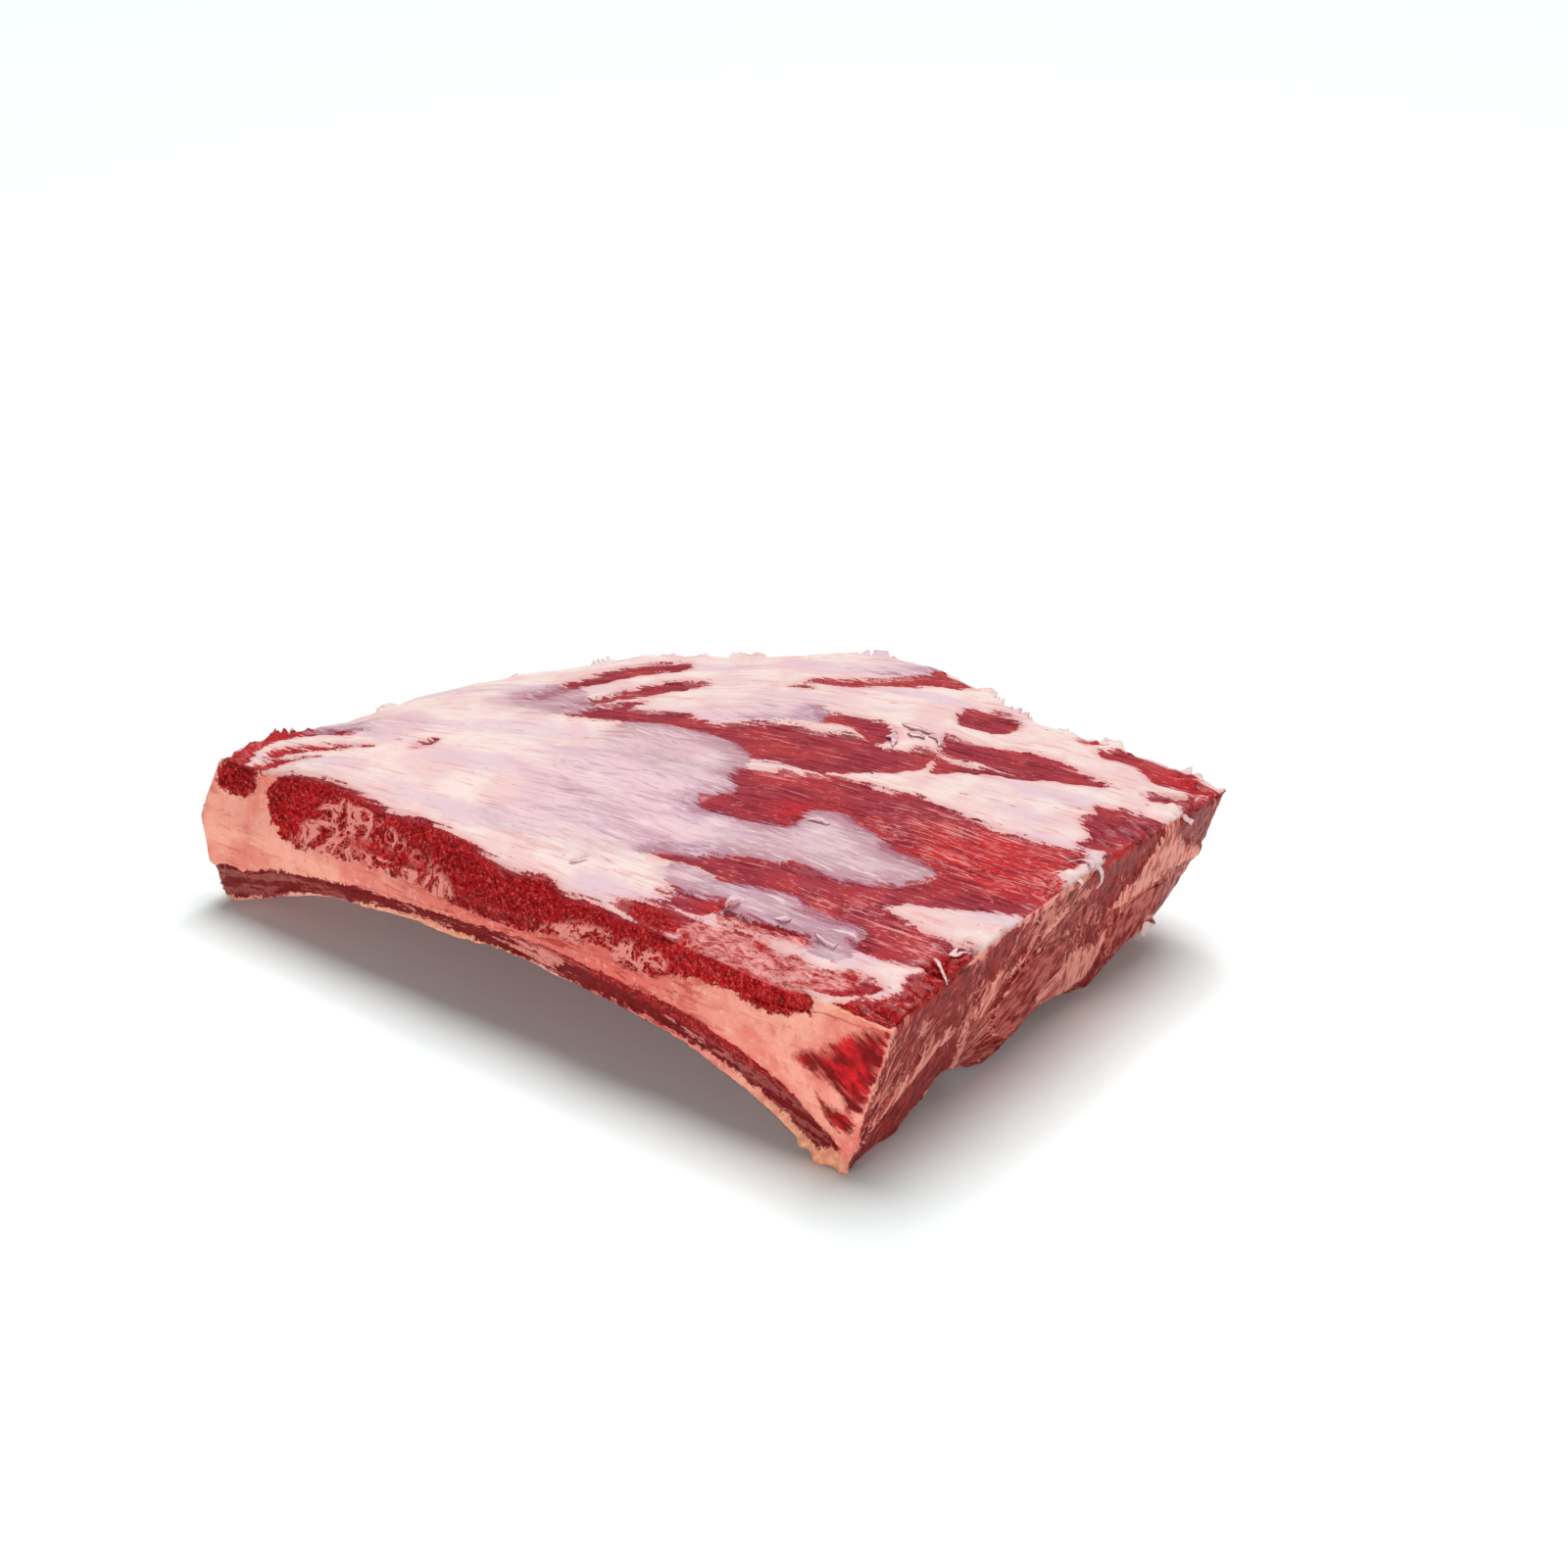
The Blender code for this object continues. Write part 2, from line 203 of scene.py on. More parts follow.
# %% Outlines of the muscle on top
LEAN_ON_TOP = {
    "strip_far_left": (
        (64, 97), (70, 98), (72, 107), (71, 118), (75, 130), (79, 140), (85, 149), (91, 157), (88, 163),
        (81, 160), (75, 153), (71, 143), (67, 131), (65, 118), (67, 107),
    ),
    "strip_left": (
        (80, 97), (85, 104), (90, 112), (93, 122), (97, 132), (102, 141), (106, 153), (101, 152), (94, 147),
        (89, 138), (86, 126), (84, 112),
    ),
    "broad_middle": (
        (86, 95), (93, 98), (102, 102), (111, 106), (120, 111), (130, 115), (141, 116), (150, 113),
        (159, 109), (169, 111), (178, 112), (186, 117), (193, 122), (200, 129), (205, 137), (209, 146),
        (208, 152), (205, 158), (199, 158), (195, 152), (189, 148), (183, 150), (176, 150), (169, 146),
        (162, 142), (154, 141), (146, 135), (139, 130), (133, 124), (125, 123), (118, 125), (110, 120),
        (104, 115), (100, 113), (99, 124), (95, 118), (90, 106),
    ),
    "oval": (
        (154, 150), (160, 150), (167, 154), (175, 153), (182, 149), (187, 153), (187, 159), (181, 164),
        (172, 165), (163, 162), (156, 157),
    ),
    "upper_middle": (
        (200, 171), (206, 160), (214, 160), (223, 162), (233, 163), (242, 161), (249, 167), (258, 170),
        (267, 176), (257, 180), (245, 183), (232, 183), (219, 180), (209, 176),
    ),
    "upper_tail": (
        (207, 157), (210, 149), (214, 144), (219, 149), (228, 154), (237, 159), (244, 162), (234, 162),
        (222, 158),
    ),
    "round_back": (
        (190, 197), (193, 189), (199, 184), (206, 186), (212, 191), (214, 198), (210, 204), (203, 206),
        (195, 203),
    ),
    "back_right": (
        (246, 200), (252, 197), (260, 198), (268, 197), (274, 192), (283, 194), (292, 192), (314, 197),
        (314, 203), (290, 201), (284, 207), (276, 211), (266, 214), (256, 212), (250, 206),
    ),
    "back_bit": ((236, 204), (241, 203), (244, 209), (239, 213)),
    "right_bit": ((279, 181), (283, 177), (291, 178), (314, 177), (314, 188), (291, 188), (285, 186)),
    "right_wedge": (
        (273, 158), (277, 151), (275, 145), (280, 139), (285, 136), (285, 128), (292, 128), (314, 126),
        (314, 167), (291, 166), (283, 163),
    ),
    "long_right": (
        (160, 101), (162, 93), (168, 88), (164, 82), (161, 75), (167, 71), (178, 72), (188, 74), (197, 75),
        (202, 80), (200, 90), (209, 94), (217, 92), (224, 90), (230, 89), (234, 84), (243, 82), (258, 81),
        (257, 75), (252, 70), (244, 65), (237, 62), (236, 57), (252, 54), (258, 55), (263, 60), (272, 64),
        (281, 69), (289, 72), (296, 75), (314, 82), (314, 97), (293, 101), (293, 119), (287, 123),
        (275, 122), (262, 121), (245, 121), (230, 123), (220, 124), (212, 120), (203, 120), (193, 118),
        (185, 113), (177, 108), (169, 104),
    ),
    "low_right": (
        (170, 41), (179, 40), (190, 41), (203, 38), (213, 38), (223, 41), (231, 43), (234, 39), (247, 38),
        (258, 38), (260, 31), (269, 30), (280, 31), (289, 33), (286, 27), (289, 19), (283, 12), (277, 9),
        (271, 1), (314, 1), (314, 46), (290, 48), (275, 50), (262, 53), (251, 57), (238, 60), (228, 60),
        (219, 58), (209, 56), (199, 53), (189, 50), (179, 46),
    ),
    "front_strip": ((187, 24), (195, 27), (204, 28), (213, 28), (215, 23), (207, 20), (197, 20)),
    "front_tip": ((178, 12), (188, 17), (198, 19), (210, 19), (213, 13), (205, 8), (192, 7)),
    "front_edge": (
        (14, -14), (16, 4), (22, 12), (36, 14), (50, 15), (64, 14), (78, 13), (88, 15), (100, 14),
        (112, 13), (120, 10), (131, 8), (141, 10), (150, 12), (158, 9), (172, 9), (186, 7), (206, 7),
        (212, -14),
    ),
    "rough_front": (
        (206, -14), (208, 8), (213, 18), (226, 20), (240, 20), (252, 19), (262, 17), (270, 20), (278, 21),
        (284, 18), (279, 12), (272, 8), (262, 6), (250, 4), (250, -14),
    ),
    "torn_ridge": (
        (212, 21), (222, 21), (232, 22), (242, 23), (250, 24), (250, 27), (240, 29), (228, 27), (214, 25),
    ),
    "torn_rim": (
        (-20, 8), (-20, 30), (-6, 44), (8, 42), (20, 44), (30, 42), (22, 38), (12, 36), (5, 30), (2, 20),
        (4, 12), (-4, 6),
    ),
    "torn_streak": ((8, 18), (16, 22), (26, 28), (38, 33), (44, 37), (32, 34), (20, 29), (10, 24)),
    "torn_streak_low": ((6, 10), (14, 13), (22, 19), (30, 24), (20, 21), (10, 16)),
    "back_stripe": (
        (133, 176), (139, 178), (146, 183), (152, 190), (158, 197), (165, 202), (172, 210), (180, 217),
        (178, 232), (166, 232), (160, 216), (155, 205), (147, 196), (140, 187),
    ),
    "back_speck": ((131, 169), (136, 169), (140, 172), (135, 174)),
    "speck_in_fat": ((56, 44), (59, 47), (61, 53), (59, 52)),
}
print(len(LEAN_ON_TOP), "patches of muscle on top")

# %% Outlines of the silverskin on top
SILVERSKIN_ON_TOP = {
    "main_sheet": (
        (108, 29), (120, 27), (135, 28), (150, 32), (163, 37), (172, 41), (185, 48), (200, 55), (220, 60),
        (236, 61), (246, 66), (252, 71), (258, 81), (245, 84), (232, 87), (222, 91), (210, 95), (201, 91),
        (202, 80), (196, 75), (172, 71), (162, 74), (163, 82), (168, 88), (161, 93), (160, 101), (158, 109),
        (148, 114), (136, 115), (126, 112), (116, 108), (108, 103), (110, 95), (112, 85), (110, 75),
        (104, 66), (107, 58), (113, 50), (112, 40),
    ),
    "front_sheet": (
        (183, 38), (186, 30), (196, 28), (206, 29), (214, 30), (216, 26), (224, 25), (234, 27), (244, 28),
        (251, 24), (258, 23), (263, 27), (259, 33), (259, 39), (246, 39), (232, 42), (225, 42), (213, 38),
        (203, 36), (192, 36),
    ),
    "mauve_streak": (
        (127, 131), (136, 134), (146, 141), (154, 147), (158, 152), (153, 159), (146, 155), (140, 149),
        (133, 140),
    ),
    "mauve_back": ((139, 206), (145, 204), (153, 208), (159, 216), (158, 226), (146, 226), (141, 216)),
    "left_streak": ((10, 39), (24, 43), (36, 48), (50, 56), (34, 51), (20, 46)),
    "over_strips": ((58, 90), (80, 92), (88, 104), (82, 110), (72, 116), (62, 108)),
}
SHEER_ON_TOP = {
    "over_strips": ((52, 84), (88, 84), (96, 108), (80, 120), (58, 118)),
    "tongue": ((190, 52), (262, 56), (264, 92), (214, 100), (192, 92)),
    "front_sheet": ((176, 44), (186, 22), (262, 16), (270, 30), (262, 46), (200, 44)),
    "upper": ((104, 88), (130, 84), (172, 90), (168, 122), (104, 116)),
}
# Thin gaps where a sheet or a torn strip lifts off what lies under it. The relief sinks them a little; their
# dark colour is painted shade over the red of the torn muscle.
CREVICES_ON_TOP = {
    "under_ridge": (
        (214, 24.5), (224, 25), (236, 27), (247, 29), (247, 30), (236, 28.6), (224, 26.6), (214, 26),
    ),
    "near_corner": ((279, 2), (289, 3.4), (298, 8), (298, 10), (288, 5.4), (279, 4)),
}
# Strips that were torn up and stand proud of the cut.
TORN_UP_ON_TOP = {
    "left_rim": ((-20, 6), (-20, 34), (-2, 44), (8, 43), (20, 43), (12, 37), (4, 30), (0, 20), (-2, 6)),
    "ridge": (
        (212, 21), (224, 22), (236, 23.5), (249, 24.5), (249, 27), (236, 26.5), (224, 24.5), (212, 24),
    ),
    "rough": ((214, 6), (226, 8), (240, 9), (256, 8), (256, 15), (240, 15), (226, 15), (214, 13)),
    "end_rim_far": ((288, 98), (306, 98), (306, 128), (290, 128), (293, 118), (292, 106)),
    "end_rim_near": ((290, 34), (306, 34), (306, 68), (288, 66), (291, 54), (293, 44)),
    "back_corner": ((286, 172), (306, 172), (306, 206), (276, 206), (290, 196), (292, 184)),
}
print(len(SILVERSKIN_ON_TOP), "sheets of silverskin on top")

# %% Outlines on the long front side, as (x, z)
LEAN_IN_FRONT = {
    "upper_muscle": (
        (18, 78), (20, 57), (18, 52), (23, 46), (30, 42), (38, 39), (46, 40), (54, 42), (64, 42), (70, 44),
        (82, 43), (100, 44), (125, 43), (150, 44), (160, 46), (172, 48), (180, 50), (190, 46), (201, 46),
        (211, 49), (221, 51), (233, 52), (245, 50), (255, 51), (262, 54), (269, 58), (276, 78),
    ),
    "lower_strip": (
        (-18, 17), (-5, 17), (4, 20), (14, 21), (24, 25), (34, 27), (46, 29), (58, 32), (72, 35), (88, 35),
        (104, 37), (125, 38), (150, 40), (175, 41), (192, 39), (208, 38), (222, 37), (236, 33), (247, 29),
        (256, 25), (264, 21), (272, 16), (280, 11), (276, 7), (268, 9), (260, 13), (250, 18), (240, 22),
        (230, 25), (215, 27), (198, 29), (175, 30.5), (150, 31.5), (125, 31.5), (100, 31), (84, 28),
        (70, 26), (56, 22), (42, 18), (28, 14), (14, 9), (2, 6), (-18, 5),
    ),
    "left_spot": ((-8, 50), (-4, 47), (4, 46), (10, 48), (12, 54), (6, 60), (-4, 58)),
}
BRUISE_IN_FRONT = {
    "marrow": (
        (262, 38), (267, 43), (274, 46), (279, 51), (286, 55), (296, 58), (295, 46), (292, 36), (289, 28),
        (284, 27), (280, 33), (271, 36),
    ),
    "low_red": ((271, 29), (277, 25), (284, 27), (286, 20), (280, 18), (274, 22)),
}
PALE_IN_FRONT = {
    "fat_corner": ((266, 57), (270, 64), (283, 64), (300, 63), (300, 55), (292, 56), (284, 53), (276, 52)),
    "edge": ((292, 26), (291, 40), (294, 54), (304, 60), (304, 20)),
    "low_nub": ((262, -8), (266, 4), (274, 9), (284, 8), (292, 2), (292, -8)),
}

TORN_UP_IN_FRONT = {
    "low_nub": ((260, -8), (262, 6), (270, 11), (280, 10), (288, 4), (292, -8)),
    "lip": ((258, 70), (260, 58), (268, 57), (278, 58), (290, 57), (304, 56), (304, 70)),
}
print("muscle in front:", sorted(LEAN_IN_FRONT))

# %% Outlines on the wide end face, as (y, z)
SOLID_LEAN_AT_END = {
    "first_lobe": (
        (6, 6), (12, 14), (20, 20), (30, 25), (40, 28), (50, 30), (55, 27), (58, 20), (58, 12), (52, 7),
        (44, 3), (30, -2), (14, -2),
    ),
    "dark_blob": ((56, 60), (60, 70), (69, 70), (70, 58), (69, 50), (65, 46), (61, 50)),
    "wedge": (
        (124, 80), (165, 80), (166, 60), (160, 53), (153, 50), (148, 45), (143, 40), (138, 41), (132, 46),
        (126, 52), (129, 58),
    ),
    "back_muscle": ((174, 59), (183, 62), (190, 78), (220, 78), (220, 40), (197, 39), (189, 42), (180, 49)),
    "third_rib_dark": ((144, 18), (150, 24), (159, 24), (165, 19), (163, 13), (152, 11)),
    "near_second_rib": ((82, 10), (84, 20), (90, 30), (98, 38), (108, 40), (112, 34), (104, 24), (98, 12)),
    "under_top": ((8, 80), (10, 57), (22, 56), (36, 59), (42, 62), (42, 80)),
    "streaks_left": ((28, 58), (44, 60), (50, 54), (48, 46), (38, 48), (30, 50)),
    "blob_middle": ((38, 43), (44, 44), (49, 40), (46, 36), (39, 37)),
}
FAT_AT_END = {
    "broad_seam": (
        (140, 38), (150, 46), (157, 53), (165, 61), (166, 80), (175, 80), (174, 60), (178, 52), (188, 43),
        (200, 37), (204, 31), (190, 35), (170, 37), (152, 36),
    ),
    "lobe_seam": (
        (2, 11), (8, 19), (14, 25), (24, 31), (33, 35.5), (42, 36), (49, 35), (51, 33), (42, 31),
        (32, 28.5), (24, 26), (14, 20), (6, 13),
    ),
    "upright_seam": ((57, 34), (60, 32), (63, 20), (61, 10), (57, 8), (59, 20)),
    "middle_wedge": ((66, 46), (70, 50), (74, 42), (73, 33), (66, 30), (63, 34)),
    "long_line": (
        (60, 31), (66, 36), (76, 44), (88, 51), (104, 56), (104, 54), (88, 48), (77, 41), (66, 33),
    ),
    "low_seam": ((104, 20), (114, 24), (130, 26), (141, 22), (142, 14), (130, 8), (112, 6)),
    "nub": ((167, 12), (170, 20), (176, 19), (181, 12), (177, 6), (170, 7)),
    "front_margin": ((-12, 30), (2, 34), (3, 44), (4, 60), (-12, 64)),
    "rim": ((40, 80), (42, 66), (56, 65), (70, 66), (84, 64), (92, 65), (104, 65), (118, 64), (125, 80)),
}
BONE_AT_END = {
    "second_rib": (
        (76, 28), (82, 38), (92, 45), (104, 46), (113, 42), (118, 32), (117, 20), (110, 12), (100, 9),
        (88, 10), (79, 17),
    ),
    "third_rib": (
        (142, 25), (147, 33), (158, 37), (170, 37), (179, 33), (183, 26), (180, 17), (170, 12), (158, 11),
        (147, 15),
    ),
}
print("fat at the end:", sorted(FAT_AT_END))

# %% Outlines of what marks the muscle: bright, flecked, rough and veined
BRIGHT_ON_TOP = {
    "right": ((240, 90), (262, 84), (290, 84), (314, 90), (314, 118), (280, 122), (256, 120), (238, 106)),
    "torn_spot": ((192, 82), (200, 84), (214, 92), (208, 98), (196, 96), (188, 88)),
    "rough": ((206, -4), (212, 20), (250, 27), (272, 22), (268, 6), (250, -4)),
    "left_end": ((-20, 6), (-20, 50), (22, 46), (44, 38), (24, 24), (6, 4)),
    "back_corner": ((288, 186), (302, 188), (302, 206), (280, 206), (276, 196)),
    "torn_ridge": ((208, 18), (252, 20), (254, 30), (240, 32), (210, 28)),
}
FLECKED_ON_TOP = {
    "low_left": ((176, 54), (190, 50), (220, 60), (236, 66), (252, 76), (240, 72), (210, 64)),
    "right": ((224, 92), (262, 84), (300, 84), (302, 122), (260, 124), (220, 116)),
    "lowest": ((228, 48), (262, 38), (300, 40), (302, 52), (262, 60)),
}
# Muscle whose cut face turns over the edge onto the top.
CUT_ON_TOP = {
    "front_edge": ((8, -16), (12, 14), (40, 24), (110, 24), (160, 20), (208, 14), (212, -16)),
    "near_corner": ((264, -4), (272, 12), (280, 20), (284, 34), (290, 44), (304, 44), (304, -4)),
}
ROUGH_ON_TOP = {
    "rough": ((205, -14), (209, 22), (250, 28), (276, 28), (274, 12), (262, 4), (250, -14)),
}
FLECKED_IN_FRONT = {
    "ragged_right": ((200, 44), (230, 48), (272, 54), (272, 64), (230, 62), (204, 60)),
    "grainy_left": ((24, 46), (30, 56), (44, 60), (44, 44), (34, 41)),
}
VEINED_IN_FRONT = {
    "veins": ((38, 40), (42, 50), (50, 60), (62, 62), (76, 58), (90, 54), (108, 52), (112, 42), (70, 39)),
    "veins_right": ((150, 42), (158, 50), (172, 54), (190, 54), (206, 52), (200, 44), (176, 42)),
    "veins_below": ((14, 12), (34, 20), (52, 25), (52, 31), (34, 27), (14, 20)),
}
print("bright muscle on top:", sorted(BRIGHT_ON_TOP))

# %% How deep a place lies inside an outline
OUTLINE_REACH = 12
OUTLINE_STEPS = 3


def ease(value, low, high):
    """0 below low, 1 above high, and an easy slope between."""
    share = np.clip((value - low) / (high - low), 0, 1)
    return share * share * (3 - 2 * share)


def rounded_outline(points):
    """A closed curve through the points of an outline."""
    here = np.array(points, float)
    before, after, beyond = np.roll(here, 1, 0), np.roll(here, -1, 0), np.roll(here, -2, 0)
    curve = []
    for t in np.arange(OUTLINE_STEPS) / OUTLINE_STEPS:
        bend = (2 * before - 5 * here + 4 * after - beyond) * t**2
        turn = (3 * here - before - 3 * after + beyond) * t**3
        curve.append((2 * here + (after - before) * t + bend + turn) / 2)
    return np.stack(curve, 1).reshape(-1, 2)


def depth_inside(points, u, v):
    """Millimetres inside an outline. Outside it is negative, and no less than -OUTLINE_REACH."""
    outline = rounded_outline(points)
    depth = np.full(len(u), -float(OUTLINE_REACH))
    (low_u, low_v), (high_u, high_v) = outline.min(0) - OUTLINE_REACH, outline.max(0) + OUTLINE_REACH
    near = (u > low_u) & (u < high_u) & (v > low_v) & (v < high_v)
    place = np.stack([u[near], v[near]], 1)
    nearest = np.full(len(place), float(OUTLINE_REACH))
    inside = np.zeros(len(place), bool)
    for start, end in zip(outline, np.roll(outline, -1, 0)):
        run = end - start
        share = np.clip(((place - start) @ run) / (run @ run), 0, 1)
        offset = place - start - share[:, None] * run
        nearest = np.minimum(nearest, np.hypot(offset[:, 0], offset[:, 1]))
        straddles = (start[1] > place[:, 1]) != (end[1] > place[:, 1])
        slant = run[0] / run[1] if run[1] else 0
        inside ^= straddles & (place[:, 0] < start[0] + (place[:, 1] - start[1]) * slant)
    depth[near] = np.where(inside, nearest, -nearest)
    return depth


def deepest(outlines, u, v):
    """The depth in the nearest of several outlines."""
    return np.max([depth_inside(points, u, v) for points in outlines.values()], 0)


middle_of_oval = deepest(LEAN_ON_TOP, np.array([172.0]), np.array([158.0]))[0]
print("the middle of the oval muscle lies", round(middle_of_oval, 1), "mm inside its edge")


# %% [markdown]
# ## A fine skin for the slab
# The CAD solids are made of large flat triangles. The slab gets a skin fine enough to carry
# ridges of a millimetre: the solids are joined, and a voxel remesh lays an even net of small
# faces over them. The ribs lie in pockets with a hair of clearance, so they are first grown by
# that much, which closes the gap. The net is then smoothed a little, to lose the flat facets.

# %% Copying the solids and remeshing them
CLEARANCE = 0.4
SLAB_VOXEL = 1.4
RIB_VOXEL = 0.85
SLAB_SMOOTHING, RIB_SMOOTHING = 5, 3
MERGE_WITHIN = 0.02


def solid_copy(node, grow):
    """A welded copy of a CAD node, grown outwards by so many millimetres, as a bmesh."""
    bm = bmesh.new()
    bm.from_mesh(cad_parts[node].data)
    bmesh.ops.remove_doubles(bm, verts=bm.verts, dist=MERGE_WITHIN * MM)
    bm.normal_update()
    moves = [vert.normal * grow * MM for vert in bm.verts]
    for vert, move in zip(bm.verts, moves):
        vert.co += move
    return bm


def smooth(bm, passes, factor):
    for _ in range(passes):
        bmesh.ops.smooth_vert(
            bm, verts=bm.verts, factor=factor, use_axis_x=True, use_axis_y=True, use_axis_z=True
        )
    bmesh.ops.recalc_face_normals(bm, faces=bm.faces)


def fine_skin(name, nodes, voxel, smoothing):
    """One even net of small faces round the given CAD nodes."""
    joined = bmesh.new()
    for node in nodes:
        part = solid_copy(node, CLEARANCE if node != "meat" else 0)
        mesh = bpy.data.meshes.new("part")
        part.to_mesh(mesh)
        part.free()
        joined.from_mesh(mesh)
        bpy.data.meshes.remove(mesh)
    rough = object_from(joined, "rough_" + name)
    remesh = rough.modifiers.new("net", "REMESH")
    remesh.mode = "VOXEL"
    remesh.voxel_size = voxel * MM
    graph = bpy.context.evaluated_depsgraph_get()
    even = bpy.data.meshes.new_from_object(rough.evaluated_get(graph))
    bpy.data.objects.remove(rough)
    bm = bmesh.new()
    bm.from_mesh(even)
    bpy.data.meshes.remove(even)
    smooth(bm, smoothing, 0.5)
    made = object_from(bm, name)
    made.data.shade_smooth()
    print(name, "has", len(made.data.polygons), "faces")
    return made


RIBS = ("rib_1", "rib_2", "rib_3")
slab = fine_skin("slab_surface", ["meat", *RIBS], SLAB_VOXEL, SLAB_SMOOTHING)
rib_bones = {rib: fine_skin(rib + "_bone", [rib], RIB_VOXEL, RIB_SMOOTHING) for rib in RIBS}


def points_and_normals(piece):
    """The points of a piece and the way each one faces, as two arrays."""
    mesh = piece.data
    points = np.empty(len(mesh.vertices) * 3)
    mesh.vertices.foreach_get("co", points)
    normals = np.empty(len(mesh.vertices) * 3)
    mesh.vertex_normals.foreach_get("vector", normals)
    return points.reshape(-1, 3), normals.reshape(-1, 3)


def surface_tree(piece):
    """Finds the nearest place on a piece's surface."""
    points = [Vector(point) for point in points_and_normals(piece)[0]]
    return BVHTree.FromPolygons(points, [tuple(face.vertices) for face in piece.data.polygons])


# %% [markdown]
# ## Which tissue each point of the skin belongs to
# Every point looks one way: up, down, to the front, to the wide end, or to the back and left. Its
# depths come from the outlines drawn for that side, and round an edge the two sides blend. The
# same functions serve the slab and the ribs, so a colour runs on from one piece to the next.

# %% Sides
def sides(normals):
    """How much each point looks up, down, to the front, to the wide end and to the back."""
    x, y, z = normals.T
    flat = np.maximum(np.hypot(x, y), 1e-6)
    up = ease(z, 0.5, 0.8)
    down = ease(-z, 0.5, 0.8)
    level_share = 1 - up - down
    front = ease(-y / flat, 0.4, 0.75)
    end = ease(x / flat, 0.4, 0.75) * (1 - front)
    back = 1 - front - end
    return {
        "top": up,
        "under": down,
        "front": level_share * front,
        "end": level_share * end,
        "back": level_share * back,
    }


slope = np.array([[0, -0.7, 0.7]])
print("a slope of 45 degrees counts as top by", round(float(sides(slope)["top"][0]), 2))


# %% Depths on each side
RIB_LINES = ((20, 27), (70, 94), (130, 164))
RIB_HALF_WIDTH = 17
SKIN_OVERLAP = 1.5
# The first rib's band in front: the foot of it arches over the middle and drops to both ends.
BAND_TOP, BAND_DROP, BAND_MIDDLE, BAND_HALF, BAND_CEILING = 32, 24, 130, 150, 62
LEFT_BONE_FOOT, LEFT_BONE_TOP, LEFT_BONE_EDGE = 16, 52, 30
BACK_LEAN_HEIGHT, BACK_LEAN_FALL = 28, 1.3


def lumpy(points, size, shift=0):
    """Soft noise from -1 to 1 at each point, with lumps of the given size in millimetres."""
    return np.array([noise.noise(Vector(p) / size + Vector((shift, shift, shift))) for p in points])


def distance_to_ribs(x, y):
    """How far a place under the slab lies inside the nearest rib's lobe."""
    lines = [left + (right - left) * x / LENGTH for left, right in RIB_LINES]
    return RIB_HALF_WIDTH - np.min([np.abs(y - line) for line in lines], 0)


def tissue_depths(points, share):
    """Depths in millimetres of each tissue at the points of a skin, given in slab coordinates."""
    x, y, z = points.T
    broad = lumpy(points, 24, 3)
    layers = 9 - np.abs(z - BACK_LEAN_HEIGHT) / BACK_LEAN_FALL + 9 * broad
    under_ribs = distance_to_ribs(x, y)
    end_fat = deepest(FAT_AT_END, y, z)
    end_bone = deepest(BONE_AT_END, y, z)
    front_lean = np.minimum(deepest(LEAN_IN_FRONT, x, z), -deepest(PALE_IN_FRONT, x, z))
    lean = (
        share["top"] * deepest(LEAN_ON_TOP, x, y)
        + share["front"] * front_lean
        - share["end"] * np.maximum(end_fat, end_bone)
        + share["back"] * np.clip(layers, -10, 6)
        + share["under"] * np.clip(-under_ribs - 2 + 7 * broad, -8, 6)
    )
    bare = depth_inside(LEAN_ON_TOP["torn_ridge"], x, y)
    skin = (
        share["top"] * np.minimum(deepest(SILVERSKIN_ON_TOP, x, y) + SKIN_OVERLAP, 1.5 - 2 * bare)
        - (share["front"] + share["end"]) * OUTLINE_REACH
        - share["back"] * 6
        + share["under"] * np.clip(-5 + 14 * broad, -8, 4)
    )
    band_foot = BAND_TOP - BAND_DROP * ((x - BAND_MIDDLE) / BAND_HALF) ** 2
    # The first rib's end shows at the left end, below its top muscle and up to a wavy edge.
    left_bone = np.minimum(z - LEFT_BONE_FOOT, LEFT_BONE_TOP - z)
    left_bone = np.minimum(left_bone, LEFT_BONE_EDGE - y + 14 * broad)
    bone = (
        -share["top"] * OUTLINE_REACH
        + share["front"] * np.minimum(z - band_foot, BAND_CEILING - z)
        + share["end"] * np.minimum(end_bone, -end_fat)
        + share["back"] * np.clip(left_bone, -OUTLINE_REACH, 20)
        + share["under"] * under_ribs
    )
    bruise = share["front"] * deepest(BRUISE_IN_FRONT, x, z) - (1 - share["front"]) * 6
    crevice = share["top"] * deepest(CREVICES_ON_TOP, x, y) - (1 - share["top"]) * OUTLINE_REACH
    return {"lean": lean, "skin": skin, "bone": bone, "bruise": bruise, "crevice": crevice}


print("ribs are", 2 * RIB_HALF_WIDTH, "mm wide under the slab")


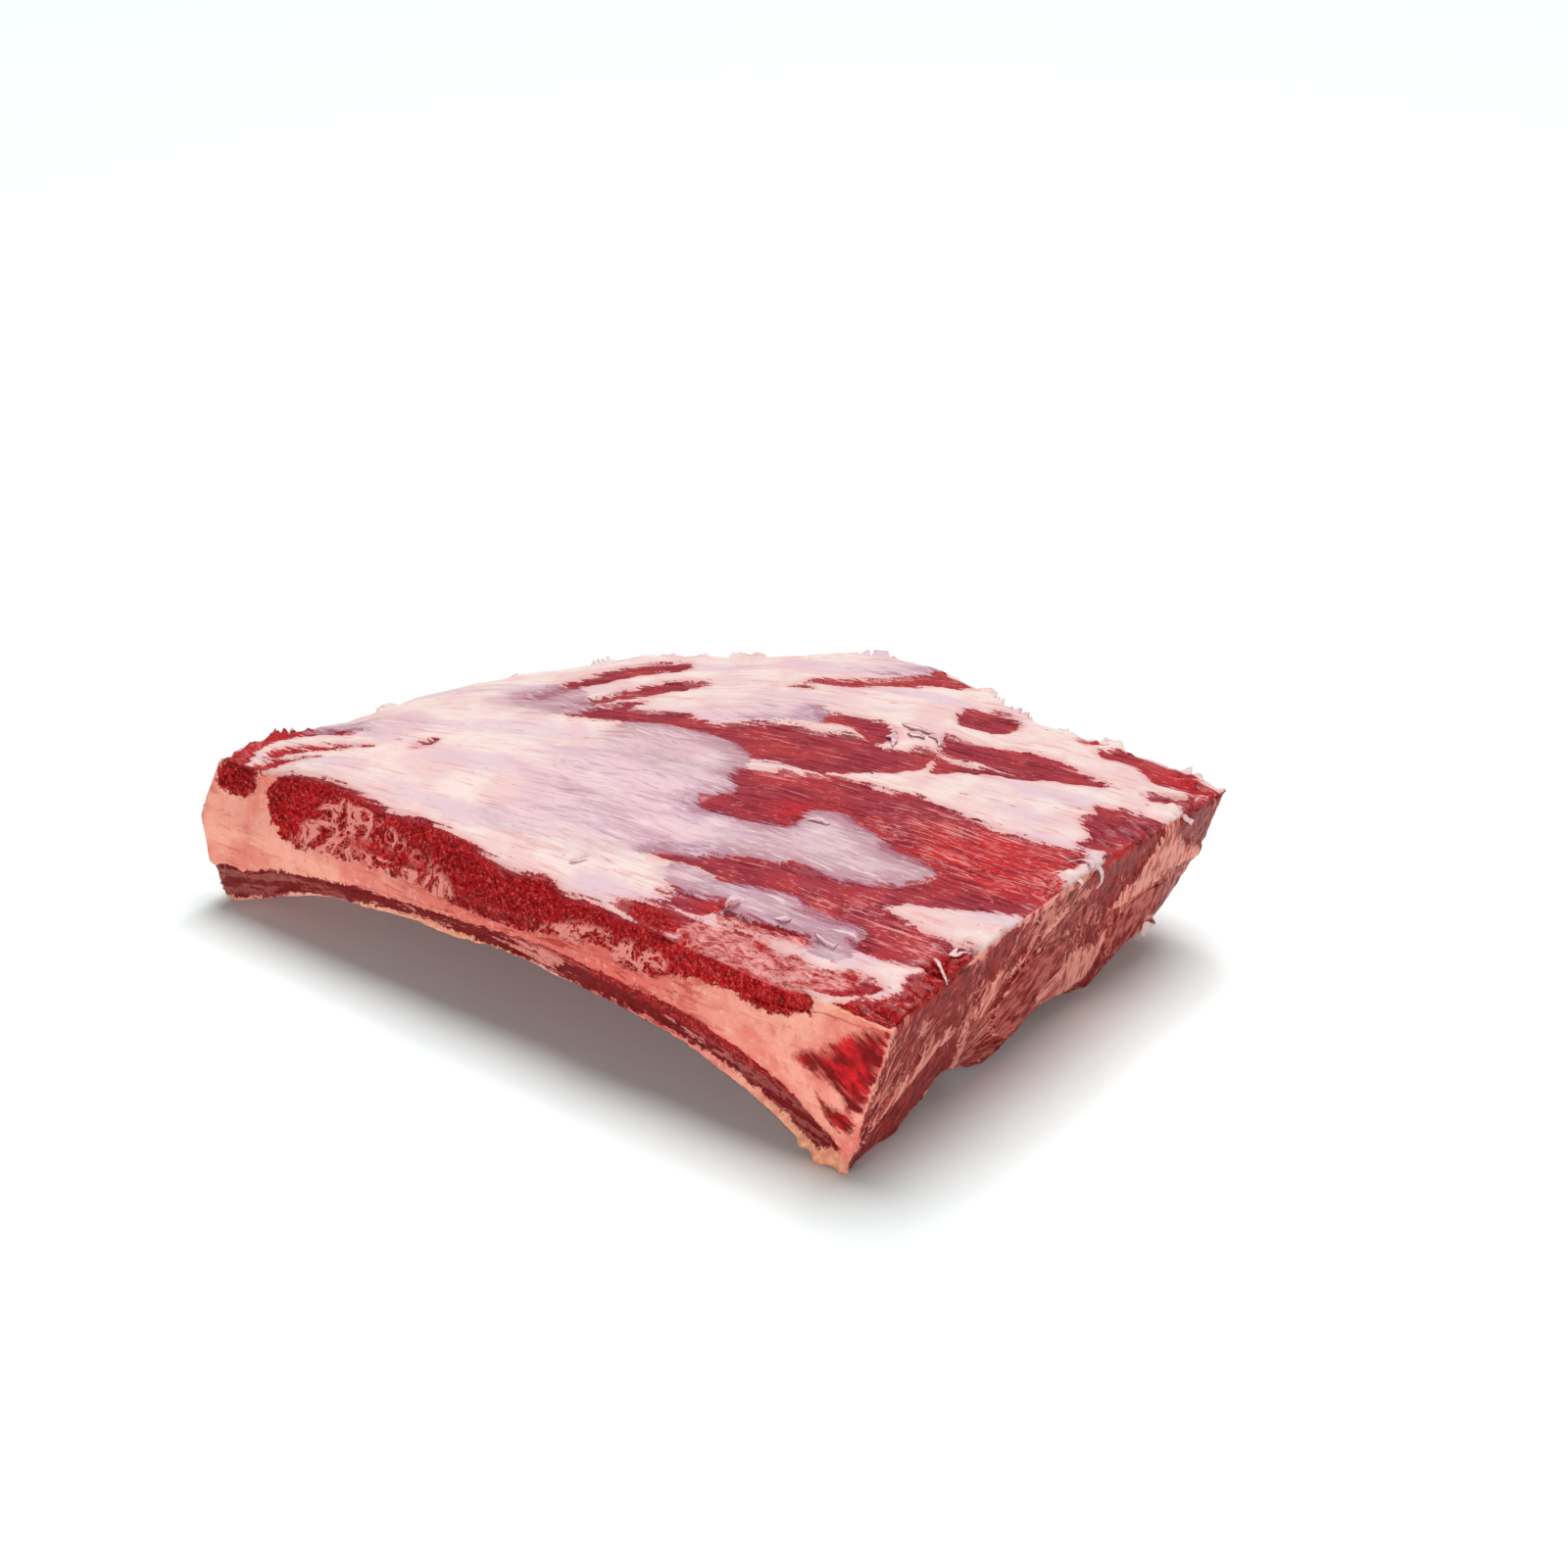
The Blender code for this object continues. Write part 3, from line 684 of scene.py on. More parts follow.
# %% How flecked with fat and how bright the muscle is
def muscle_character(points, share):
    """Marbling and brightness from 0 to 1. The brightness includes a painted highlight on the rounded edge
    between top and front.
    """
    x, y, z = points.T
    top_fleck = 0.2 + 0.4 * ease(deepest(FLECKED_ON_TOP, x, y), -6, 6)
    top_fleck = np.maximum(top_fleck, ease(deepest(ROUGH_ON_TOP, x, y), -3, 3))
    front_fleck = 0.05 + 0.25 * ease(z - 0.05 * x, 28, 38)
    front_fleck += 0.1 * ease(deepest(FLECKED_IN_FRONT, x, z), -4, 4)
    front_fleck += 0.7 * ease(deepest(VEINED_IN_FRONT, x, z), -4, 4)
    end_fleck = 0.68 - 0.53 * ease(deepest(SOLID_LEAN_AT_END, y, z), -4, 2)
    top_bright = ease(deepest(BRIGHT_ON_TOP, x, y), -8, 8)
    # Painted highlight: the muscle is made brighter on the rounded edge between top and front, where that
    # edge catches the light.
    rim = ease(4 * share["top"] * (share["front"] + share["end"]), 0.7, 1.0)
    front_bright_with_edge_highlight = 0.6 * rim * (x < 272) + 0.45 * ease(deepest(FLECKED_IN_FRONT, x, z), -3, 4)
    end_bright = ease(z, 60, 66) * (y > 122) * ease(lumpy(points, 6, 31), -0.35, 0.25)
    marbling = share["top"] * top_fleck + share["front"] * front_fleck + share["end"] * end_fleck
    marbling += (share["back"] + share["under"]) * 0.5
    bright = share["top"] * np.maximum(top_bright, front_bright_with_edge_highlight) + share["front"] * front_bright_with_edge_highlight
    bright += share["end"] * end_bright
    sheer = share["top"] * ease(deepest(SHEER_ON_TOP, x, y), -8, 4)
    return {"marbling": np.clip(marbling, 0, 1), "bright": np.clip(bright, 0, 1), "sheer": sheer}


print("flecked patches on top:", sorted(FLECKED_ON_TOP))


# %% Grain: how the fibres run
FAN_STRAIGHTENS = 140
FAN_SOFTNESS = 0.4
FRONT_GRAIN_TILT = math.radians(-32)
END_FAN_CENTRE = (55, 12)
END_FAN_SPREAD = 38
END_FAN_EDGE = 121
NEAR_FAN_CENTRE = (-14, -22)
NEAR_FAN_SPREAD = 72
NEAR_FAN_EDGE = 48


def turned(u, v, tilt):
    return u * math.cos(tilt) + v * math.sin(tilt), v * math.cos(tilt) - u * math.sin(tilt)


def fan(u, v, centre, spread):
    """Fibres that spread from a centre: how far out a place is, and how far round."""
    u, v = u - centre[0], v - centre[1]
    return np.hypot(u, v), np.arctan2(v, u) * spread


def grains(points):
    """Coordinates (along, across, over) the fibres of each side, in millimetres.

    On top they leave the narrow end like a fan, and straighten towards the wide end.
    """
    x, y, z = points.T
    top_along = np.hypot(x, y)
    top_across = y / np.hypot(np.tanh(x / FAN_STRAIGHTENS), FAN_SOFTNESS)
    front_along, front_across = turned(x, z, FRONT_GRAIN_TILT)
    end_along, end_across = fan(y, z, END_FAN_CENTRE, END_FAN_SPREAD)
    near_along, near_across = fan(y, z, NEAR_FAN_CENTRE, NEAR_FAN_SPREAD)
    end_along = np.where(y < NEAR_FAN_EDGE, near_along, np.where(y > END_FAN_EDGE, z, end_along))
    end_across = np.where(y < NEAR_FAN_EDGE, near_across, np.where(y > END_FAN_EDGE, y, end_across))
    return {
        "top": np.stack([top_along, top_across, z], 1),
        "front": np.stack([front_along * 2.5, front_across, y], 1),
        "end": np.stack([end_along, end_across, x], 1),
    }


def fibre_noise(points, share, stretch, shift):
    """Noise from -1 to 1 that runs along the fibres of whichever side a point is on."""
    along = grains(points)
    level = share["top"] + share["under"]
    upright = share["front"] + share["back"]
    return (
        level * lumpy(along["top"] * stretch, 1, shift)
        + upright * lumpy(along["front"] * stretch, 1, shift)
        + share["end"] * lumpy(along["end"] * stretch, 1, shift)
    )


print("fibres at the slab's middle:", grains(np.array([[150.0, 100.0, 60.0]]))["top"].round(1))


# %% Writing what a point is on to the mesh
def write_fields(piece, fields):
    """Stores each field as an attribute, which the materials read by its name."""
    for name, values in fields.items():
        made = piece.data.attributes.new(name, "FLOAT", "POINT")
        made.data.foreach_set("value", values.astype(np.float32))


def fields_of(piece, facing):
    """A piece's points and normals, the sides they belong to by their facing, and all their fields."""
    points, normals = points_and_normals(piece)
    points = to_slab(points)
    share = sides(facing)
    fields = tissue_depths(points, share)
    fields.update(muscle_character(points, share))
    x, y, z = points.T
    turned_over = np.minimum(deepest(CUT_ON_TOP, x, y), deepest(LEAN_ON_TOP, x, y))
    fields["dark_cut"] = share["front"] + share["top"] * ease(turned_over, -1, 3)
    fields["dull_cut"] = share["end"] + share["under"] * 0.6
    fields["upright_back"] = share["back"]
    return points, normals, share, fields


print("skin of the slab:", len(slab.data.vertices), "points")


# %% [markdown]
# ## Relief
# Fat stands a little proud of the muscle, silverskin lies tight over it, and muscle shows ridges
# along its fibres. The edges of the slab are ragged where the knife tore them. Nearly all the
# relief cuts inwards from the solid. Only torn strips and the back edge's crags stand out from it,
# and nothing passes the box round the solids, so the slab keeps its size.

# %% Relief of the slab and the ribs
LEAN_SINKS = 1.6
FAT_RISES = 1.1
SKIN_RISES = 0.4
BONE_RISES = 0.8
FIBRE_RIDGE = 0.5
FAT_LUMP = 0.55
FAT_DIMPLE = 0.25
CUT_GRAIN = 0.45
RAGGED_EDGE = 2.6
NOTCHES = 2.0
CRAG_CUT, CRAG_RISE = 3.0, 3.4
TORN_RISE = 2.6
CREVICE_DEPTH = 0.5
TUFT_GROOVE = 4.5
# The ribs sink a little less than the skin round them, so that they show.
RIB_LIFT = 0.35


def relief(points, share, fields):
    """How far each point stands out from the solid, in millimetres.

    It is above 0 only where a strip is torn up and at the crags of the back edge.
    """
    x, y, z = points.T
    ragged = fibre_noise(points, share, (0.09, 0.42, 0.42), 11)
    lean = ease(fields["lean"] + 3 * ragged, -1.2, 1.2)
    skin = ease(fields["skin"] + 2 * ragged, -1, 1)
    bone = ease(fields["bone"], -1, 2) * (1 - lean) * (1 - share["top"])
    height = -LEAN_SINKS + FAT_RISES * (1 - lean) * (1 - bone) + BONE_RISES * bone
    height += SKIN_RISES * skin * lean
    ridges = fibre_noise(points, share, (0.035, 0.3, 0.3), 5)
    height += FIBRE_RIDGE * ridges * lean * (1 - 0.7 * skin) * (share["top"] + share["end"])
    height += FAT_LUMP * lumpy(points, 13, 7) * (1 - lean) * (0.35 + 0.65 * share["top"])
    height += FAT_DIMPLE * lumpy(points, 4.5, 8) * (1 - lean)
    height += CUT_GRAIN * lumpy(points, 3.4, 9) * (1 - share["top"]) * lean
    rim = 4 * share["top"] * (1 - share["top"])
    height -= RAGGED_EDGE * rim * np.maximum(lumpy(points, 5.5, 13), 0)
    height -= NOTCHES * rim * np.maximum(lumpy(points, 3.6, 19), 0)
    at_end = ease(x, 281, 292) * share["top"] * lean
    height -= TUFT_GROOVE * at_end * np.maximum(lumpy(points * (0.12, 1, 0.4), 3.2, 27), 0)
    height -= CREVICE_DEPTH * ease(fields["crevice"], -0.8, 0.4)
    behind = ease(rim, 0, 0.6) * ease(share["back"], 0.02, 0.3)
    crags = lumpy(points, 11, 17)
    height -= CRAG_CUT * behind * np.maximum(-crags, 0)
    torn = ease(deepest(TORN_UP_ON_TOP, x, y), -1.5, 2) * (share["top"] + 0.5 * rim)
    near_front = (share["front"] + share["under"]) * ease(8 - y, 0, 5)
    torn += ease(deepest(TORN_UP_IN_FRONT, x, z), -1, 3) * near_front
    proud = TORN_RISE * torn * np.clip(0.4 + 1.1 * lumpy(points, 5, 23), 0, 1)
    proud += CRAG_RISE * behind * ease(crags, 0.05, 0.45)
    return np.minimum(height, 0) + proud


def to_frame_array(points):
    return points * MM + np.array(SLAB_START)


def raise_relief(piece, facing, lift=0.0):
    """Moves a piece's points by their relief, and writes their fields to its mesh."""
    points, normals, share, fields = fields_of(piece, facing)
    height = relief(points, share, fields)
    height = np.where(height < 0, np.minimum(height + lift, 0), height)
    low, high = (np.array(corner) for corner in cad_box)
    moved = np.clip(to_frame_array(points + normals * height[:, None]), low, high)
    piece.data.vertices.foreach_set("co", moved.ravel())
    piece.data.update()
    write_fields(piece, fields)
    print(piece.name, "relief from", round(height.min(), 2), "to", round(height.max(), 2), "mm")


# A rib's rounded edge still belongs to the side of the slab that it lies in, so a rib's points
# take the facing of the nearest place on the slab's skin.
slab_normals = points_and_normals(slab)[1]
skin_tree = surface_tree(slab)
for bone_piece in rib_bones.values():
    nearest = [skin_tree.find_nearest(Vector(point))[1] for point in points_and_normals(bone_piece)[0]]
    raise_relief(bone_piece, np.array(nearest), lift=RIB_LIFT)
raise_relief(slab, slab_normals)

# %% [markdown]
# ## Finishes
# Each tissue is a node group with named inputs, because the slab and the ribs use them all. The
# groups read the depths stored on the mesh and put out colours, masks and heights. The shader
# itself stays in each material.

# %% Small helpers for nodes
TOP_LIGHT, FRONT_LIGHT, END_LIGHT = 1.14, 0.84, 0.74
WAYS = ("Top", "Front", "End")
CUTS = ("Dark Cut", "Dull Cut")
VECTORS = ("Position", "Place", *WAYS)
FIELDS = ("Lean", "Skin", "Bone", "Bruise", "Marbling", "Bright", *CUTS, "Crevice", "Sheer", "Upright Back")
# Where a Mix node keeps its two inputs and its output, for each kind of value.
MIX_SOCKETS = {"FLOAT": (2, 3, 0), "VECTOR": (4, 5, 1), "RGBA": (6, 7, 2)}


def paint(red, green, blue, light=TOP_LIGHT):
    """A colour as it should look on a side, 0 to 255, for a surface that gets that much light."""
    linear = [((c / 255 + 0.055) / 1.055) ** 2.4 for c in (red, green, blue)]
    return (*[min(c / light, 0.96) for c in linear], 1)


class Wires:
    """A node tree, with short names for the steps that a value goes through."""

    def __init__(self, tree):
        self.tree = tree

    def node(self, kind, inputs=(), **settings):
        """Adds a node. An input is a socket to link from, or a value to set."""
        made = self.tree.nodes.new(kind)
        for key, value in settings.items():
            setattr(made, key, value)
        for key, value in dict(inputs).items():
            if isinstance(value, bpy.types.NodeSocket):
                self.tree.links.new(value, made.inputs[key])
            else:
                made.inputs[key].default_value = value
        return made

    def calc(self, operation, *values):
        return self.node("ShaderNodeMath", enumerate(values), operation=operation).outputs[0]

    def times(self, first, second):
        return self.calc("MULTIPLY", first, second)

    def scaled(self, value, by, plus):
        return self.calc("MULTIPLY_ADD", value, by, plus)

    def less(self, first, second):
        return self.calc("SUBTRACT", first, second)

    def length(self, u, v):
        return self.calc("SQRT", self.scaled(u, u, self.times(v, v)))

    def between(self, value, low, high):
        """0 below low, 1 above high, smooth between."""
        inputs = {"Value": value, "From Min": low, "From Max": high}
        return self.node("ShaderNodeMapRange", inputs, interpolation_type="SMOOTHSTEP").outputs[0]

    def mix(self, share, first, second, kind="RGBA"):
        """The first where the share is 0, and the second where it is 1."""
        one, other, result = MIX_SOCKETS[kind]
        made = self.node("ShaderNodeMix", {0: share, one: first, other: second}, data_type=kind)
        return made.outputs[result]

    def tint(self, colour, share, strength, other):
        return self.mix(self.times(share, strength), colour, other)

    def split(self, vector):
        return self.node("ShaderNodeSeparateXYZ", {0: vector}).outputs

    def join(self, x, y, z):
        return self.node("ShaderNodeCombineXYZ", {0: x, 1: y, 2: z}).outputs[0]

    def speckle(self, place, scale, detail=3.0, roughness=0.55, warp=0.0):
        """Noise from 0 to 1 at a place. Scale is in lumps per unit, as one number or three."""
        if isinstance(scale, tuple):
            place = self.node("ShaderNodeVectorMath", {0: place, 1: scale}, operation="MULTIPLY").outputs[0]
            scale = 1.0
        inputs = {"Vector": place, "Scale": scale, "Detail": detail, "Roughness": roughness}
        return self.node("ShaderNodeTexNoise", {**inputs, "Distortion": warp}).outputs["Fac"]

    def use(self, group, values):
        """Adds a group, and feeds each of its inputs the value of that name."""
        made = self.node("ShaderNodeGroup", node_tree=group)
        for socket in made.inputs:
            self.tree.links.new(values[socket.name], socket)
        return made.outputs


class Group(Wires):
    """A node group. A socket's name decides its kind, and g["Top"] is the input called Top."""

    def __init__(self, name, inputs, outputs):
        super().__init__(bpy.data.node_groups.new(name, "ShaderNodeTree"))
        for way, labels in (("INPUT", inputs), ("OUTPUT", outputs)):
            for label in labels:
                kind = "Vector" if label in VECTORS else "Color" if label == "Color" else "Float"
                self.tree.interface.new_socket(label, in_out=way, socket_type="NodeSocket" + kind)
        self.given = self.tree.nodes.new("NodeGroupInput").outputs
        self.result = self.tree.nodes.new("NodeGroupOutput").inputs

    def __getitem__(self, label):
        return self.given[label]

    def by_side(self, top, front, end, kind="RGBA"):
        """What belongs on top, on the dark cut in front or on the dull cut at the end."""
        return self.mix(self["Dull Cut"], self.mix(self["Dark Cut"], top, front, kind), end, kind)

    def put_out(self, **values):
        """Ends the group: each value goes to the output of its name."""
        for label, value in values.items():
            self.tree.links.new(value, self.result[label])
        print("group", self.tree.name, "with", len(self.tree.nodes), "nodes")
        return self.tree


print("cream for the top:", [round(c, 2) for c in paint(255, 231, 224)])


# %% Fibre directions, from the place on the slab
def make_fibre_directions():
    g = Group("fibre_directions", ["Position", "Upright Back"], ["Place", *WAYS])
    shift = {0: g["Position"], 1: (1 / MM,) * 3, 2: -(SLAB_START / MM)}
    place = g.node("ShaderNodeVectorMath", shift, operation="MULTIPLY_ADD").outputs[0]
    x, y, z = g.split(place)

    def fanned(centre, spread):
        """Along and across fibres that spread from a centre on the end face."""
        u, v = g.less(y, centre[0]), g.less(z, centre[1])
        return g.join(g.length(u, v), g.times(g.calc("ARCTAN2", v, u), spread), x)

    narrow = g.calc("TANH", g.calc("DIVIDE", x, FAN_STRAIGHTENS))
    narrow = g.calc("SQRT", g.scaled(narrow, narrow, FAN_SOFTNESS**2))
    top = g.join(g.length(x, y), g.calc("DIVIDE", y, narrow), z)
    round_back = g.join(g.calc("ADD", x, y), z, 0.0)
    top = g.mix(g.calc("GREATER_THAN", g["Upright Back"], 0.5), top, round_back, "VECTOR")
    slope = {"Vector": g.join(x, z, y), "Angle": -FRONT_GRAIN_TILT}
    front = g.node("ShaderNodeVectorRotate", slope, rotation_type="Z_AXIS").outputs[0]
    end = fanned(END_FAN_CENTRE, END_FAN_SPREAD)
    end = g.mix(g.calc("GREATER_THAN", y, END_FAN_EDGE), end, g.join(z, y, x), "VECTOR")
    near_fan = fanned(NEAR_FAN_CENTRE, NEAR_FAN_SPREAD)
    end = g.mix(g.calc("LESS_THAN", y, NEAR_FAN_EDGE), end, near_fan, "VECTOR")
    return g.put_out(Place=place, Top=top, Front=front, End=end)


fibre_directions = make_fibre_directions()

# %% Frayed edges: how far each place is pushed over the edge of a patch
# For each side, lumps per millimetre along, across and over the fibres, and the push.
FRAYS = {
    "Top": ((0.06, 0.5, 0.5), 12.0),
    "Front": ((0.2, 0.36, 0.36), 6.0),
    "End": ((0.1, 0.45, 0.45), 9.0),
}
FINE_LUMPS, FINE_PUSH = 0.9, 3.0


def make_fray():
    g = Group("fray", ["Place", *WAYS, *CUTS], ["Long", "Fine"])

    def push(noise_value, reach):
        """Noise from 0 to 1 as a push of some millimetres, in or out."""
        return g.scaled(noise_value, reach, -reach / 2)

    pushes = [
        push(g.speckle(g[way], lumps, detail=4, roughness=0.6), reach)
        for way, (lumps, reach) in FRAYS.items()
    ]
    fine = push(g.speckle(g["Place"], FINE_LUMPS, detail=2), FINE_PUSH)
    return g.put_out(Long=g.by_side(*pushes, "FLOAT"), Fine=fine)


fray = make_fray()

# %% Lean: red muscle with streaks and marbling
TOP_DARK = paint(126, 32, 46)
TOP_MID = paint(182, 66, 78)
TOP_RED = paint(200, 66, 68)
TOP_BRIGHT = paint(222, 46, 46)
TOP_STREAK = paint(248, 156, 154)
ROUGH_RED = paint(180, 34, 38)
ROUGH_PINK = paint(255, 172, 168)
CUT_DARK = paint(100, 1, 5, FRONT_LIGHT)
CUT_MID = paint(172, 28, 32, FRONT_LIGHT)
CUT_BRIGHT = paint(196, 22, 26, FRONT_LIGHT)
CUT_FLECK = paint(214, 104, 98, FRONT_LIGHT)
CUT_VEIN = paint(228, 140, 130, FRONT_LIGHT)
END_DARK = paint(102, 14, 14, END_LIGHT)
END_MID = paint(158, 50, 47, END_LIGHT)
END_BRIGHT = paint(190, 30, 32, END_LIGHT)
END_FLECK = paint(206, 122, 108, END_LIGHT)
FLECK_RARE, FLECK_OFTEN = 0.68, 0.52
PEBBLE_SIZE = 1.7
VEIN_SIZE = 0.075


def make_lean():
    g = Group("lean", ["Place", *WAYS, *CUTS, "Marbling", "Bright"], ["Color", "Height"])
    patches = g.speckle(g["Place"], 0.06, detail=2)
    marbled = g.scaled(g.less(patches, 0.5), 1.2, g["Marbling"])
    often = g.scaled(marbled, FLECK_OFTEN - FLECK_RARE, FLECK_RARE)

    def flecks(streaks, softness=0.03):
        return g.between(g.less(streaks, often), -softness, softness)

    def ridge(noise_value, width):
        """1 on the thin winding lines where a noise crosses its middle."""
        from_middle = g.calc("ABSOLUTE", g.less(noise_value, 0.5))
        return g.less(1.0, g.between(from_middle, width * 0.4, width))

    fibres = g.speckle(g["Top"], (0.05, 0.8, 0.8), detail=5, roughness=0.7)
    long_flecks = g.speckle(g["Top"], (0.05, 1.0, 1.0), detail=4, roughness=0.6)
    short_flecks = g.speckle(g["Top"], (0.3, 1.2, 1.2), detail=3, roughness=0.6)
    pebbles = {"Vector": g["Place"], "Scale": 1 / PEBBLE_SIZE}
    pebbles = g.node("ShaderNodeTexVoronoi", pebbles).outputs["Distance"]
    specks = g.speckle(g["Place"], 0.5, detail=4, roughness=0.65)

    top = g.mix(g.between(fibres, 0.36, 0.56), TOP_DARK, TOP_MID)
    top = g.tint(top, g.between(patches, 0.45, 0.65), 0.7, TOP_RED)
    # The Bright field also holds the painted highlight along the rounded front edge, so this tint paints
    # that highlight too.
    top = g.tint(top, g.times(g["Bright"], g.between(fibres, 0.4, 0.56)), 0.9, TOP_BRIGHT)
    top = g.tint(top, flecks(long_flecks), 0.85, TOP_STREAK)
    top = g.tint(top, flecks(short_flecks), 0.6, TOP_STREAK)
    torn = g.speckle(g["Top"], (0.14, 0.36, 0.36), detail=6, roughness=0.85)
    granular = g.mix(g.between(torn, 0.4, 0.6), ROUGH_RED, ROUGH_PINK)
    granular = g.tint(granular, g.between(specks, 0.42, 0.34), 0.6, ROUGH_RED)
    top = g.mix(g.between(g["Marbling"], 0.7, 0.95), top, granular)

    front_grains = g.speckle(g["Front"], (0.4, 0.8, 0.8), detail=5, roughness=0.75)
    # Painted shade on the front cut: the pebble cells darken the gaps between the granules and lighten their
    # middles, over the grain noise.
    grain_and_granule_shade = g.scaled(pebbles, -0.09, g.calc("ADD", front_grains, 0.03))
    cut = g.mix(g.between(grain_and_granule_shade, 0.36, 0.6), CUT_DARK, CUT_MID)
    # Here too the Bright field carries the painted highlight along the rounded top edge of the cut.
    cut = g.tint(cut, g.times(g["Bright"], g.between(grain_and_granule_shade, 0.38, 0.52)), 0.85, CUT_BRIGHT)
    few = g.scaled(g["Marbling"], -0.07, 0.66)
    cut = g.tint(cut, g.between(g.less(front_grains, few), -0.03, 0.03), 0.8, CUT_FLECK)
    tiny_flecks = g.speckle(g["Place"], 0.85, detail=4, roughness=0.7, warp=0.3)
    cut = g.tint(cut, g.between(tiny_flecks, 0.56, 0.62), 0.5, CUT_FLECK)
    branches = g.speckle(g["Place"], VEIN_SIZE, detail=4, roughness=0.6, warp=0.4)
    thin = g.speckle(g["Place"], VEIN_SIZE * 2.2, detail=3, roughness=0.6)
    veins = g.calc("MAXIMUM", ridge(branches, 0.045), g.times(ridge(thin, 0.03), 0.5))
    cut = g.tint(cut, g.times(veins, g.between(g["Marbling"], 0.5, 0.85)), 0.9, CUT_VEIN)

    # Under the bone band the muscle lies in thin layers that follow the arch.
    x, y, z = g.split(g["Place"])
    from_middle = g.calc("DIVIDE", g.less(x, BAND_MIDDLE), BAND_HALF)
    arch = g.times(g.times(from_middle, from_middle), BAND_DROP)
    over_arch = g.calc("ADD", g.less(z, BAND_TOP), arch)
    layers = g.speckle(g.join(g.times(x, 0.022), y, g.times(over_arch, 0.42)), 1.0, detail=4)
    low_down = g.between(over_arch, 9.0, 6.0)
    cut = g.tint(cut, low_down, 0.78, CUT_DARK)
    broken = g.times(g.between(layers, 0.5, 0.56), g.between(front_grains, 0.36, 0.5))
    middle = g.scaled(g.times(g.between(x, 50.0, 90.0), g.between(x, 250.0, 200.0)), 0.7, 0.25)
    cut = g.tint(cut, g.times(g.times(broken, low_down), middle), 0.85, CUT_VEIN)

    streaks = g.speckle(g["End"], (0.06, 0.42, 0.42), detail=4, roughness=0.6)
    strings = g.speckle(g["End"], (0.05, 0.2, 0.2), detail=2, roughness=0.5, warp=0.6)
    crumbs = g.speckle(g["End"], (0.2, 0.6, 0.6), detail=5, roughness=0.7)
    end = g.mix(g.between(crumbs, 0.4, 0.6), END_DARK, END_MID)
    end = g.tint(end, g["Bright"], 1.0, END_BRIGHT)
    end = g.tint(end, flecks(streaks, 0.025), 0.85, END_FLECK)
    end = g.tint(end, g.times(ridge(strings, 0.018), g.between(g["Marbling"], 0.3, 0.7)), 0.9, END_FLECK)
    end = g.tint(end, flecks(crumbs), 0.35, END_FLECK)

    height = g.scaled(pebbles, -0.35, g.scaled(specks, 0.8, fibres))
    return g.put_out(Color=g.by_side(top, cut, end), Height=height)


lean = make_lean()

# %% Fat: cream to pink, with fine pores and thin red veins
FAT_CREAM = paint(255, 231, 224)
FAT_PINK = paint(249, 210, 208)
FAT_BLUSH = paint(238, 164, 160)
FAT_VEIN = paint(214, 110, 108)
FAT_HAZE = paint(236, 204, 218)
CUT_FAT = paint(214, 132, 112, FRONT_LIGHT)
CUT_FAT_GOLD = paint(226, 164, 126, FRONT_LIGHT)
END_FAT = paint(212, 138, 124, END_LIGHT)
END_FAT_RED = paint(160, 66, 60, END_LIGHT)


def make_fat():
    g = Group("fat", ["Place", "Top", "End", "Lean", *CUTS], ["Color", "Height"])
    clouds = g.speckle(g["Place"], 0.05, detail=5)
    pores = g.speckle(g["Place"], 0.5, detail=4, roughness=0.6)
    veins = g.speckle(g["Top"], (0.05, 0.45, 0.45), detail=4)
    spots = g.speckle(g["Top"], (0.16, 0.5, 0.5), detail=2)
    hazes = g.speckle(g["Top"], (0.02, 0.07, 0.07), detail=4)
    threads = g.speckle(g["Top"], (0.03, 0.9, 0.9), detail=4, roughness=0.7)
    strings = g.speckle(g["End"], (0.05, 0.5, 0.5), detail=4, roughness=0.65)

    top = g.mix(g.between(clouds, 0.4, 0.6), FAT_CREAM, FAT_PINK)
    top = g.tint(top, g.between(hazes, 0.5, 0.62), 0.7, FAT_HAZE)
    top = g.tint(top, g.between(threads, 0.56, 0.66), 0.45, FAT_BLUSH)
    top = g.tint(top, g.between(veins, 0.54, 0.68), 0.55, FAT_BLUSH)
    top = g.tint(top, g.between(spots, 0.68, 0.74), 0.7, FAT_VEIN)
    top = g.tint(top, g.between(g["Lean"], -4.0, 0.5), 0.55, FAT_BLUSH)
    cut = g.mix(g.between(pores, 0.4, 0.62), CUT_FAT, CUT_FAT_GOLD)
    end = g.mix(g.between(strings, 0.4, 0.52), END_FAT_RED, END_FAT)
    return g.put_out(Color=g.by_side(top, cut, end), Height=g.scaled(pores, 0.4, clouds))


fat = make_fat()

# %% Bone under its thin skin, with fine lines along it
BONE_PALE = paint(238, 156, 138, FRONT_LIGHT)
BONE_PINK = paint(218, 120, 108, FRONT_LIGHT)
BONE_LINE = paint(190, 76, 68, FRONT_LIGHT)
BONE_BLUSH = paint(206, 98, 88, FRONT_LIGHT)
BONE_BRIGHT = paint(250, 186, 166, FRONT_LIGHT)
BONE_STREAK = paint(160, 46, 42, FRONT_LIGHT)
END_BONE = paint(180, 92, 84, END_LIGHT)
END_BONE_DARK = paint(116, 24, 24, END_LIGHT)


